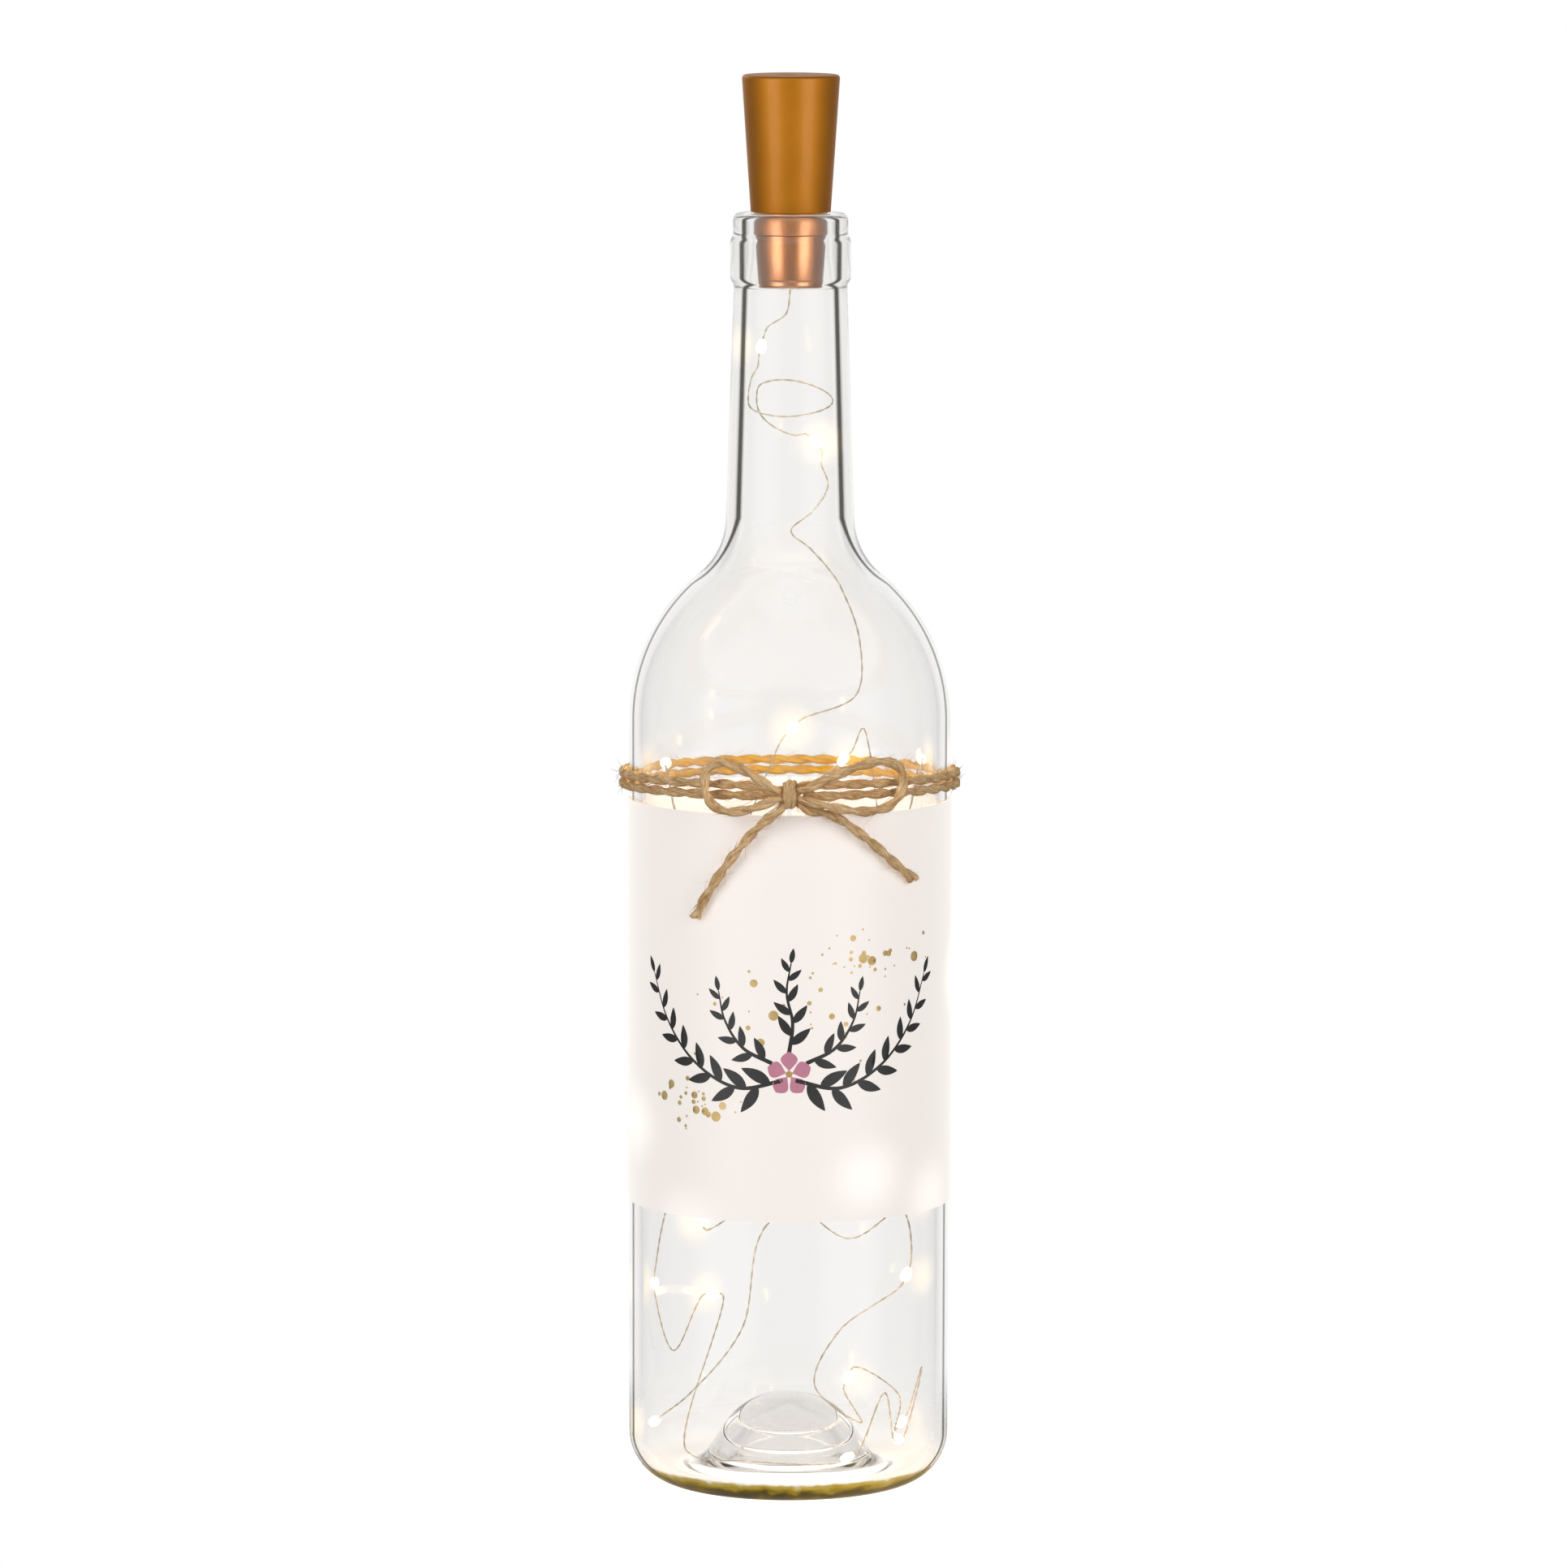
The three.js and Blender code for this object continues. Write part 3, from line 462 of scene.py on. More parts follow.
# Light string: the same route as the solid, [angle, inset from the glass, height, light]
stringSettings = {
    "plies": 2, "plyRadius": 0.11, "plyOffset": 0.12, "plyPitch": 6.0, "plySides": 6, "lumpDepth": 0.0,
    "step": 0.9,
    "lightRadius": 1.4, "lightLength": 4.2, "stub": 0.7, "sealBottom": 284.6, "looseGap": 0.3,
    "dropShare": 0.84, "dropRound": 0.8, "dropLean": 0.12, "dropSteps": 14, "dropTurns": 18,
    "diameter": 0.00045,
}
leadRoute = [
    (-28, 8.2, 277.6, 0), (-66, 4.9, 274.6, 0), (-80, 3.85, 269.9, 1),
]
neckRoute = [
    (-85, 3.3, 265.4, 0), (-90, 1.7, 262.2, 0), (-86, 1.2, 258.6, 0), (-61, 1.2, 255.6, 0),
    (-33, 1.2, 254.3, 0), (-4, 1.2, 253.9, 0), (28, 1.2, 254.6, 0), (60, 1.2, 256, 0), (93, 1.2, 257.8, 0),
    (128, 1.2, 259.4, 0), (162, 1.2, 260.9, 0), (196, 1.2, 261.5, 0), (232, 1.7, 260.6, 0),
    (266, 3.1, 258.2, 0), (300, 3.2, 254.4, 0), (335, 2.8, 251.3, 0), (8, 2.7, 249.4, 0), (38, 2.9, 247.7, 1),
]
bodyRoute = [
    (50, 2.5, 242.4, 0), (62, 2.1, 237.4, 0), (30, 2, 231.6, 0), (1, 1.9, 227, 0), (24, 1.7, 222.4, 0),
    (40, 2.2, 213, 0), (36, 2.6, 201.6, 0), (29, 3, 190.2, 0), (1, 3.2, 183.2, 1), (-38, 3.4, 143, 0),
    (-66, 3.7, 172.7, 1), (-135, 3.6, 149, 0), (155, 3.6, 168.7, 1), (145, 3.2, 176.4, 0), (128, 3.6, 143, 0),
    (100, 2.4, 171.5, 1), (46, 3.2, 140, 0), (86, 2.4, 121.2, 1), (140, 3.6, 98, 0), (200, 3.6, 118, 1),
    (246, 3.6, 125, 0), (-69, 2.8, 88, 1), (-2, 3.6, 100, 0), (60, 2.8, 71.4, 1), (12, 3.4, 84, 0),
    (-39, 3.7, 66.5, 1), (-5, 3.4, 73.5, 0), (26, 3.6, 62.8, 0), (56, 3.4, 67.6, 0), (60, 3.6, 52.1, 1),
    (24, 6.2, 40.4, 0), (13, 8, 27.6, 0), (38, 7.4, 17.8, 0), (27, 4.6, 29.5, 1), (72, 7.6, 22, 0),
    (113, 4.6, 11.5, 1), (90, 2.8, 27, 0), (61, 5.6, 12.4, 1), (45, 3.6, 25, 0), (29, 6.4, 10, 1),
    (-18, 5.5, 9.6, 0), (-62, 7.4, 9.4, 0), (-143, 3.8, 40, 1), (-119, 2.6, 28, 0), (-93, 2.4, 46.7, 1),
    (-32, 4.4, 92, 0), (30, 2.8, 78.1, 1), (-10, 5.6, 66, 0), (-21, 5.2, 41.5, 0), (-50, 5.4, 24.4, 0),
    (-78, 2.8, 15.2, 1),
]


# Stations along the string, with a straight stub at each light
def stringStations(s):
    route = [(Vector((0, 0, s["sealBottom"] - s["looseGap"])), 0)]
    for angle, inset, height, light in leadRoute + neckRoute + bodyRoute:
        route.append((aroundPoint(angle, boreAt(height) - inset, height), light))
    ends = withEnds([place for place, light in route])
    reach = s["lightLength"] / 2 + s["stub"]
    stations, lights = [], []
    for i, (place, light) in enumerate(route):
        if light:
            direction = tangentAt(*ends[i:i + 3]).normalized()
            lights.append((place, direction, len(stations)))
            stations += [place - direction * reach, place, place + direction * reach]
        else:
            stations.append(place)
    return stations, lights


stations, lights = stringStations(stringSettings)


# How near a surface lies to the lights: 1 at a light, 0 at the given reach
def nearLights(tree, reach):
    space = objectSpace(tree)
    total = None
    for place, direction, index in lights:
        away = addNode(tree, "ShaderNodeVectorMath", {0: space, 1: place * mm}, operation="DISTANCE")
        near = remap(away.outputs["Value"], (reach * mm, 0.0), curve="SMOOTHERSTEP")
        total = near if total is None else reckon("ADD", total, near)
    return total


glassSettings = {
    "ior": 1.5, "body": (0.775, 0.77, 0.755, 1), "density": 36.0, "shadow": (0.95, 0.96, 0.95, 1),
    "waves": (55.0, 1.0), "waveBump": (0.05, 0.001),
    # Painted light: the glass glows near the lights
    "glowColour": "#ffd98a", "glowReach": 8.5, "glowGain": 0.4,
    # Painted shade: dark lines along the glass's edges
    "paintedEdgeShade": "#201f17", "edgeHeights": (0.214, 0.23),  # from the body's edge to the neck's
    "edgeMiddle": (0.78, 0.41), "edgeHalf": (0.045, 0.095), "edgeFade": (1.0, 0.3),  # 0 facing, 1 edge on
    # Painted shade: the heel's outer face darkens to olive and near black towards the bottom
    "heelBand": (0.0058, 0.0026), "heelReach": (0.0262, 0.0275),  # where the painted olive heel shade starts and is full
    "specks": (210.0, 4.0, 0.65), "uneven": ((0.35, 0.65), (0.45, 1.4)),
    "heelShadeColours": (
        (0.0, "#fefdfc"), (0.22, "#7c6412"), (0.5, "#543c00"), (0.84, "#190c00"), (1.0, "#080400"),
    ),
}


# Painted shade along the glass's edges: a dark band on the outer surface near where it turns out of sight, 0
# to 1
def addEdgeShade(height, outside, s):
    tree = treeOf(height)
    upward = addNode(tree, "ShaderNodeCombineXYZ", {"Z": 1.0}).outputs["Vector"]
    facing = addNode(tree, "ShaderNodeLayerWeight", {"Blend": 0.5}).outputs["Facing"]
    level = addNode(tree, "ShaderNodeLayerWeight", {"Blend": 0.5, "Normal": upward}).outputs["Facing"]
    # Facing as seen from level, so that the edge stays at the sides from above too
    rise = oneLess(level)
    flat = reckon("POWER", oneLess(times(rise, rise)), 0.5)
    toward = reckon("DIVIDE", oneLess(facing), flat)
    middle = remap(height, s["edgeHeights"], s["edgeMiddle"])
    half = remap(height, s["edgeHeights"], s["edgeHalf"])
    offset = reckon("SUBTRACT", oneLess(toward), middle)
    size = reckon("ABSOLUTE", reckon("DIVIDE", offset, half))
    band = remap(size, s["edgeFade"], curve="SMOOTHSTEP")
    return times(band, outside)


# Clear glass with a faint green-grey body and slight waves, painted dark edge lines, a painted dark olive
# shade low on the heel and a painted glow near the lights; lamps shine through it
def makeGlass(s):
    finish, tree, shader = newFinish("clearGlass", grey(1.0), 0.0)
    space = objectSpace(tree)
    height = splitAxes(space)["Z"]
    outside = addNode(tree, "ShaderNodeAttribute", attribute_name="outside").outputs["Fac"]
    behind = addNode(tree, "ShaderNodeNewGeometry").outputs["Backfacing"]
    # Painted heel shade: darker towards the bottom, on the outer face only, unevenly
    heel = remap(height, s["heelBand"])
    for factor in (
        remap(axisDistance(space), s["heelReach"], curve="SMOOTHSTEP"),
        remap(addNoise(space, *s["specks"]), *s["uneven"]),
        oneLess(behind),
        outside,
    ):
        heel = times(heel, factor)
    heelShade = addRamp(heel, s["heelShadeColours"])
    # Painted edge shade, laid over the painted heel shade in the base colour
    edge = addEdgeShade(height, outside, s)
    setInputs(shader, {
        "IOR": s["ior"], "Transmission Weight": 1.0,
        "Base Color": mixColours(edge, heelShade, tint(s["paintedEdgeShade"]), "MULTIPLY"),
        # Painted glow of the glass near the lights
        "Emission Strength": times(nearLights(tree, s["glowReach"]), s["glowGain"]),
        "Emission Color": tint(s["glowColour"]),
    })
    addBump(shader, addNoise(space, *s["waves"]), *s["waveBump"])
    passLamps(shader, s["shadow"])
    body = addNode(tree, "ShaderNodeVolumeAbsorption", {"Color": s["body"], "Density": s["density"]})
    setInputs(tree.nodes["Material Output"], {"Volume": body.outputs["Volume"]})
    return finish


def makeBottle(s):
    bm = spinProfile(bottleProfile(s), s["turns"])
    outside = bm.verts.layers.float.new("outside")
    for vert in bm.verts:
        radius, height = vert.co.xy.length / mm, vert.co.z / mm
        vert[outside] = 1.0 if radius > boreAt(height) + s["wall"] / 2 else 0.0
    return bm


glassFinish = makeGlass(glassSettings)
addPiece("bottle_glass", makeBottle(bottleSettings), glassFinish, "bottle", ["bottle"],
         bottleSettings["sharp"])
print("bottle made")


# Printed wrap
wrapSettings = {
    "bottom": 68.0, "height": 95.5, "gap": 0.1, "thickness": 0.3, "seam": 1.2, "turns": 160, "sharp": 40,
    "paper": "#e9e1dc", "roughness": 0.5, "grain": (900.0, 3.0), "grainBump": (0.06, 0.0001),
    # Painted light: the film glows, more at the sides and back than at the front, and more near the lights
    "glowColour": "#fffaf4", "own": (0.26, 0.54), "lightReach": 15.0, "lightGain": 0.25,
    "inside": 0.5, "faceSpan": (0.25, 0.75),  # dimmer on the inside, by shares of the thickness
}


def makeWrap(s):
    inner = bottleSettings["bodyRadius"] + s["gap"]
    outer = inner + s["thickness"]
    top = s["bottom"] + s["height"]
    seam = s["seam"] / bottleSettings["bodyRadius"]
    bm = bmesh.new()
    start = math.radians(180) + seam / 2
    corners = [(inner, s["bottom"]), (outer, s["bottom"]), (outer, top), (inner, top)]
    verts = [bm.verts.new((r * math.sin(start) * mm, -r * math.cos(start) * mm, z * mm)) for r, z in corners]
    face = bm.faces.new(verts)
    bmesh.ops.spin(bm, geom=[face, *face.edges, *verts], cent=(0, 0, 0), axis=(0, 0, 1), dvec=(0, 0, 0),
                   angle=math.tau - seam, steps=s["turns"], use_merge=False)
    return weldSpin(bm)


# Thin satin film with painted light: a painted glow that is stronger at the sides and back than at the front,
# and a painted glow near the lights behind it
def makeFilm(s):
    finish, tree, shader = newFinish("printedFilm", tint(s["paper"]), s["roughness"])
    space = objectSpace(tree)
    # Painted fill light, from the front to the sides and back
    own = remap(splitAxes(space)["Y"], (-bottleSettings["bodyRadius"] * mm, 0.0), s["own"])
    inner = (bottleSettings["bodyRadius"] + s["gap"]) * mm
    span = [inner + share * s["thickness"] * mm for share in s["faceSpan"]]
    face = remap(axisDistance(space), span, (s["inside"], 1.0))
    # Painted glow near the lights, added to the painted fill
    strength = reckon("MULTIPLY_ADD", nearLights(tree, s["lightReach"]), s["lightGain"], own)
    setInputs(shader, {
        "Emission Strength": times(strength, face),
        "Emission Color": tint(s["glowColour"]),
    })
    addBump(shader, addNoise(space, *s["grain"]), *s["grainBump"])
    return finish


filmFinish = makeFilm(wrapSettings)
addPiece("label_film", makeWrap(wrapSettings), filmFinish, "bottle", ["label_wrap"],
         wrapSettings["sharp"])
print("wrap made")


# Print on the wrap: leafy sprigs, a blossom and drifts of gold specks, laid out flat and then wrapped
printSettings = {
    "lift": 0.02, "depth": 0.03, "weld": 1e-5, "sharp": 60, "seed": 11,
    "stemWidth": (1.0, 0.3), "stemStep": 0.9,
    "leafGrid": (12, 2), "leafRound": 0.85, "leafShare": 0.36, "leafTurn": 42, "leafBend": 0.1,
    "leafFull": (0.42, 0.45),  # where a side leaf and an end leaf are widest
    # Points of the stem along and up, leaf length at its start and end, leaf count, sides it is drawn on
    "sprigs": (
        (((1.5, 101.5), (12, 99.5), (23, 104.5), (32, 114), (37, 124.5)), (8.0, 4.2), 15, (1, -1)),
        (((0.0, 108), (0.8, 115), (-0.6, 122), (0.4, 129)), (6.4, 3.6), 8, (1,)),
        (((4.0, 105.5), (11, 109), (15.5, 115.5), (17, 122)), (6.0, 3.6), 8, (1, -1)),
    ),
    "blossom": (0.0, 103.0, 4.6),  # along, up and petal length
    "petals": 5, "petalFoot": 0.7, "petalShare": 0.86, "petalFull": 0.6, "heart": 0.8,
    # Along, up, spread along and up, and count of the specks
    "drifts": ((20, 129, 11, 4.5, 34), (-25, 95.5, 10, 4.5, 30), (2, 116, 24, 10, 26)),
    "speck": (0.22, 1.25), "speckSides": 14, "speckLift": 0.01, "spread": 1.6,
}


# A leaf or petal from its foot: grid narrowed by a rounded outline
def addLeaf(bm, foot, angle, length, width, full, s, bend=0.0):
    columns, rows = s["leafGrid"]
    made = bmesh.ops.create_grid(bm, x_segments=columns, y_segments=rows, size=0.5)["verts"]
    along = Vector((math.cos(angle), 0, math.sin(angle)))
    side = Vector((-math.sin(angle), 0, math.cos(angle)))
    for vert in made:
        u, v = vert.co.x + 0.5, vert.co.y * 2
        swell = 0.0
        if 0 < u < 1:
            swell = math.sin(math.pi * u ** (math.log(0.5) / math.log(full))) ** s["leafRound"]
        vert.co = foot + along * length * u + side * (v * width / 2 * swell + bend * length * u * (1 - u))


# A tapering stroke: one edge carried along the stem
def addStem(bm, path, width):
    edge, pair = None, None
    for i, place in enumerate(path):
        ahead = directionAt(path, i)
        half = Vector((-ahead.z, 0, ahead.x)) * (width[0] + (width[1] - width[0]) * i / (len(path) - 1)) / 2
        if edge is None:
            pair = [bm.verts.new(place - half), bm.verts.new(place + half)]
            edge = bm.edges.new(pair)
        else:
            grown = bmesh.ops.extrude_edge_only(bm, edges=[edge])["geom"]
            edge = next(g for g in grown if isinstance(g, bmesh.types.BMEdge))
            first, last = edge.verts
            if (first.co - pair[0].co).length > (last.co - pair[0].co).length:
                first, last = last, first
            first.co, last.co = place - half, place + half
            pair = [first, last]


def addSprig(bm, points, leaf, count, s):
    path = smoothPath([Vector((x, 0, z)) for x, z in points], s["stemStep"])
    addStem(bm, path, s["stemWidth"])
    sideFull, endFull = s["leafFull"]
    for i in range(count):
        share = (i + 1) / (count + 0.5)
        index = int(share * (len(path) - 1))
        ahead = path[min(index + 1, len(path) - 1)] - path[index - 1]
        sign = 1 if i % 2 else -1
        angle = math.atan2(ahead.z, ahead.x) + math.radians(sign * s["leafTurn"])
        length = leaf[0] + (leaf[1] - leaf[0]) * share
        addLeaf(bm, path[index], angle, length, s["leafShare"] * length, sideFull, s, sign * s["leafBend"])
    ahead = path[-1] - path[-2]
    addLeaf(bm, path[-1], math.atan2(ahead.z, ahead.x), leaf[1], s["leafShare"] * leaf[1], endFull, s)


# Wraps the flat print round the bottle and gives it a little thickness
def wrapPrint(bm, s):
    bmesh.ops.remove_doubles(bm, verts=bm.verts, dist=s["weld"])
    radius = bottleSettings["bodyRadius"] + wrapSettings["gap"] + wrapSettings["thickness"] + s["lift"]
    for vert in bm.verts:
        vert.co = aroundPoint(math.degrees(vert.co.x / radius), radius + vert.co.y, vert.co.z) * mm
    bmesh.ops.solidify(bm, geom=bm.faces[:], thickness=s["depth"] * mm)
    return faceOut(bm)


def makeInk(s):
    bm = bmesh.new()
    for points, leaf, count, signs in s["sprigs"]:
        for sign in signs:
            addSprig(bm, [(sign * x, z) for x, z in points], leaf, count, s)
    return wrapPrint(bm, s)


def makeBlossom(s):
    bm = bmesh.new()
    along, up, length = s["blossom"]
    for i in range(s["petals"]):
        turn = math.radians(90 + 360 / s["petals"] * i)
        foot = Vector((along + s["petalFoot"] * math.cos(turn), 0, up + s["petalFoot"] * math.sin(turn)))
        addLeaf(bm, foot, turn, length, s["petalShare"] * length, s["petalFull"], s)
    return wrapPrint(bm, s)


def makeSpecks(s):
    bm = bmesh.new()
    picker = random.Random(s["seed"])
    least, most = s["speck"]
    spots = [(s["blossom"][0], s["blossom"][1], s["heart"])]
    for along, up, wide, tall, count in s["drifts"]:
        for i in range(count):
            size = least + (most - least) * picker.random() ** 3
            x, z = [picker.gauss(*spot) for spot in ((along, wide / s["spread"]), (up, tall / s["spread"]))]
            spots.append((x, z, size))
    lay = Matrix.Rotation(math.radians(90), 4, "X")
    for along, up, size in spots:
        bmesh.ops.create_circle(bm, cap_ends=True, cap_tris=True, segments=s["speckSides"], radius=size,
                                matrix=Matrix.Translation((along, -s["speckLift"], up)) @ lay)
    return wrapPrint(bm, s)


inkFinish = grainFinish("printInk", "#1c1a1a", "#121111", 0.5, 0.0, 900.0, 0.04)
pinkFinish = grainFinish("printPink", "#d08aa0", "#c67f97", 0.5, 0.0, 900.0, 0.04)
goldFinish = grainFinish("printGold", "#dcc489", "#bd9a57", 0.42, 0.25, 1600.0, 0.06)
for name, maker, finish in (("print_ink", makeInk, inkFinish), ("print_blossom", makeBlossom, pinkFinish),
                            ("print_specks", makeSpecks, goldFinish)):
    addPiece(name, maker(printSettings), finish, "bottle", sharp=printSettings["sharp"])
print("print made")


# Wires or plies laid round each other along each path; twine is lumpy, and opens at a cut end
plySettings = {"lumpRate": 0.9, "lumpSize": 2.2, "shift": 5, "openLength": 3.0}


def layPlies(paths, s, seed=0.0, opened=0.0):
    bm = bmesh.new()
    uvMap = bm.loops.layers.uv.new("strand")
    size = plySettings["lumpSize"]
    spokes = [math.tau * j / s["plySides"] for j in range(s["plySides"])]
    row = 0
    for path in paths:
        frames = pathFrames(path)
        lengths = [f[4] for f in frames]
        for ply in range(s["plies"]):
            rings = []
            for place, tangent, side, other, along in frames:
                spread = 1 + opened * smoothStep(along, lengths[-1] - plySettings["openLength"], lengths[-1])
                turn = math.tau * (along / s["plyPitch"] + ply / s["plies"])
                centre = place + spoke(side, other, turn) * s["plyOffset"] * spread
                ring = []
                for a in spokes:
                    reach = spoke(side, other, a) * s["plyRadius"]
                    across = size * math.cos(a) + plySettings["shift"] * ply
                    lump = noise.noise((along * plySettings["lumpRate"] + seed, across, size * math.sin(a)))
                    ring.append(centre + reach * (1 + s["lumpDepth"] * lump))
                rings.append(ring)
            addStrand(bm, rings, lengths, uvMap, row)
            row += 1
    return faceOut(bm)


# Drop of resin round the wires, warm and lit
def makeDrop(place, direction, s):
    half, radius = s["dropShare"] * s["lightLength"] / 2, s["lightRadius"]
    profile = []
    for t in [math.pi * share for share in shares(s["dropSteps"])]:
        swell = s["dropShare"] * radius * math.sin(t) ** s["dropRound"] * (1 - s["dropLean"] * math.cos(t))
        profile.append((swell, -half * math.cos(t)))
    profile[0], profile[-1] = (0, -half), (0, half)
    bm = spinProfile(profile, s["dropTurns"])
    turn = direction.to_track_quat("Z", "Y").to_matrix().to_4x4()
    bmesh.ops.transform(bm, matrix=Matrix.Translation(place * mm) @ turn, verts=bm.verts)
    return bm


lightSettings = {
    "colour": "#ffeccb", "roughness": 0.15, "strength": 1.8, "mottle": (700.0, 2.0),
    "stops": ((0.35, "#ffdf9c"), (0.65, "#fff0cf")),
    "power": 0.009, "thrown": "#ffd08a",  # watts and colour that each drop throws on what is round it
}


def makeLight(s):
    finish, tree, shader = newFinish("warmLight", tint(s["colour"]), s["roughness"])
    glow = addRamp(addNoise(objectSpace(tree), *s["mottle"]), s["stops"])
    setInputs(shader, {"Emission Strength": s["strength"], "Emission Color": glow})
    passLamps(shader, grey(1.0))
    return finish


lightFinish = makeLight(lightSettings)
wireFinish = grainFinish("enamelledWire", "#b3a793", "#8f8270", 0.36, 0.4, 900.0)
neckPath = smoothPath(stations[:lights[1][2] + 2], stringSettings["step"])
bodyPath = smoothPath(stations[lights[1][2] + 1:], stringSettings["step"])
for number, (place, direction, index) in enumerate(lights, 1):
    name = f"light_drop_{number:02d}"
    addPiece(name, makeDrop(place, direction, stringSettings), lightFinish,
                          "carrier" if number == 1 else "bottle", [f"led_{number:02d}"])
neckString = addPiece("neck_string", layPlies([neckPath], stringSettings), wireFinish, None,
                      ["lead_in_wire", "neck_wire"])
bodyString = addPiece("body_string", layPlies([bodyPath], stringSettings), wireFinish, "bottle",
                      ["light_wire"])
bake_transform(neckString)


def pathLength(path):
    return sum((b - a).length for a, b in zip(path, path[1:])) * mm


print("light string made,", round(pathLength(neckPath) + pathLength(bodyPath), 3), "m")


# Twine and bow, on the same lines as the solids
twineSettings = {
    "radius": 1.0, "height": 168.3, "pitchUp": 2.48, "sag": 3.2, "gap": 0.35, "crossGap": 0.45,
    "knotLift": 0.9, "knotHalfWidth": 2.9, "knotBand": 3.05, "looseGap": 0.3, "loopSpread": 1.35,
    "loopRise": 2.0, "liftAngle": 26.0, "dipAngle": 14.0, "dipShare": 0.6, "crossAngle": 8.0,
    "left": (14.6, 4.6), "right": (21.4, 4.7),  # reach and height of the loops
    "leftTail": ((-1.9, -3.6), (-6.3, -7.6), (-11.2, -13.6), (-16, -20.2), (-19.7, -25.9), (-22.2, -30.2)),
    "rightTail": ((3, -3.3), (9.6, -5.6), (17.6, -11.6), (25.6, -18.2), (31, -22)),
    "tuck": (0.7, 0.7, 0.5),  # ends of the bow inside the knot: along, up and in
    "bothTurns": 720, "turnSteps": 720, "loopSteps": 30, "step": 0.4, "sharp": 60,
    "plies": 2, "plyRadius": 0.74, "plyOffset": 0.45, "plyPitch": 13.0, "plySides": 10, "lumpDepth": 0.2,
    "opened": 0.8, "seedStep": 20.0, "knotSeed": 9.0,
}


glassRadius = bottleSettings["bodyRadius"]
turnRadius = glassRadius + twineSettings["gap"] + twineSettings["radius"]
turnClear = 2 * twineSettings["radius"] + twineSettings["crossGap"]
knotRadius = turnRadius + twineSettings["radius"] + twineSettings["gap"] + twineSettings["knotBand"]
knotHeight = twineSettings["height"] + twineSettings["knotLift"]


def turnsPath(s):
    endAngle = math.degrees((s["knotHalfWidth"] + s["looseGap"]) / (turnRadius + turnClear))
    middle = s["bothTurns"] / 2
    path = []
    for i in range(s["turnSteps"] + 1):
        angle = endAngle + (s["bothTurns"] - 2 * endAngle) * i / s["turnSteps"]
        fromEnd = min(angle, s["bothTurns"] - angle)
        climb = smoothStep(angle, middle - s["crossAngle"], middle + s["crossAngle"])
        lift = 1 - smoothStep(fromEnd, endAngle, s["liftAngle"])
        dip = s["dipShare"] * (1 - smoothStep(fromEnd, endAngle, s["dipAngle"]))
        level = s["pitchUp"] * climb * (1 - dip) + s["knotLift"] * dip
        sag = s["sag"] * (1 - math.cos(math.radians(angle))) / 2
        path.append(aroundPoint(angle, turnRadius + turnClear * lift, s["height"] + level - sag))
    return path


# A place of the bow: along the glass from the knot's middle, distance from the axis, height
def bowPoint(along, radius, height):
    return aroundPoint(math.degrees(along / glassRadius), radius, height)


# Where an end of the bow lies inside the knot
def tuckPoint(s, sign, upward):
    along, up, inward = s["tuck"]
    return aroundPoint(math.degrees(sign * along / knotRadius), knotRadius - inward, knotHeight + upward * up)


def loopPath(s, sign, reach, height):
    path = []
    for share in shares(s["loopSteps"]):
        out = math.sin(math.pi * share)
        along = sign * (s["knotHalfWidth"] + s["looseGap"] + reach * out)
        rise = s["loopSpread"] * math.cos(math.pi * share) + height * math.sin(math.tau * share)
        rise += s["loopRise"] * out
        radius = knotRadius + s["loopSpread"] - s["loopSpread"] * out
        path.append(bowPoint(along, radius, knotHeight + rise))
    return smoothPath([tuckPoint(s, sign, 1), *path, tuckPoint(s, sign, -1)], s["step"])


def tailPath(s, points):
    surface = glassRadius + wrapSettings["gap"] + wrapSettings["thickness"]
    rest = surface + s["gap"] + s["radius"]
    places = []
    for i, (along, rise) in enumerate(points):
        radius = knotRadius + (rest - knotRadius) * math.sqrt(i / (len(points) - 1))
        places.append(bowPoint(along, radius, knotHeight + rise))
    return smoothPath([tuckPoint(s, math.copysign(1, points[0][0]), -1), *places], s["step"])


juteSettings = {
    "colour": "#b08a5e", "roughness": 0.88, "gloss": 0.2, "stretch": (1.9, 13.0, 1.0),
    "streaks": (2.2, 5.0, 0.65), "bump": (0.8, 0.0004),
    "stops": ((0.3, "#7c552c"), (0.43, "#dcac74"), (0.54, "#ffdda8"), (0.66, "#fff6e0")),
    "patches": (160.0, 3.0), "patchShare": 0.5, "patchStops": ((0.35, "#c8ad88"), (0.65, "#ffffff")),
    # Painted light on the inner side of the turns at the back: glow strength, glow colour and amber tint
    "innerGlow": 0.05, "glowColour": "#ffc400", "paintedAmberLight": "#d2b826",
    "innerSide": (0.0006, -0.0002), "behind": (0.0, 0.02),  # from the twine's middle, and from the axis
}


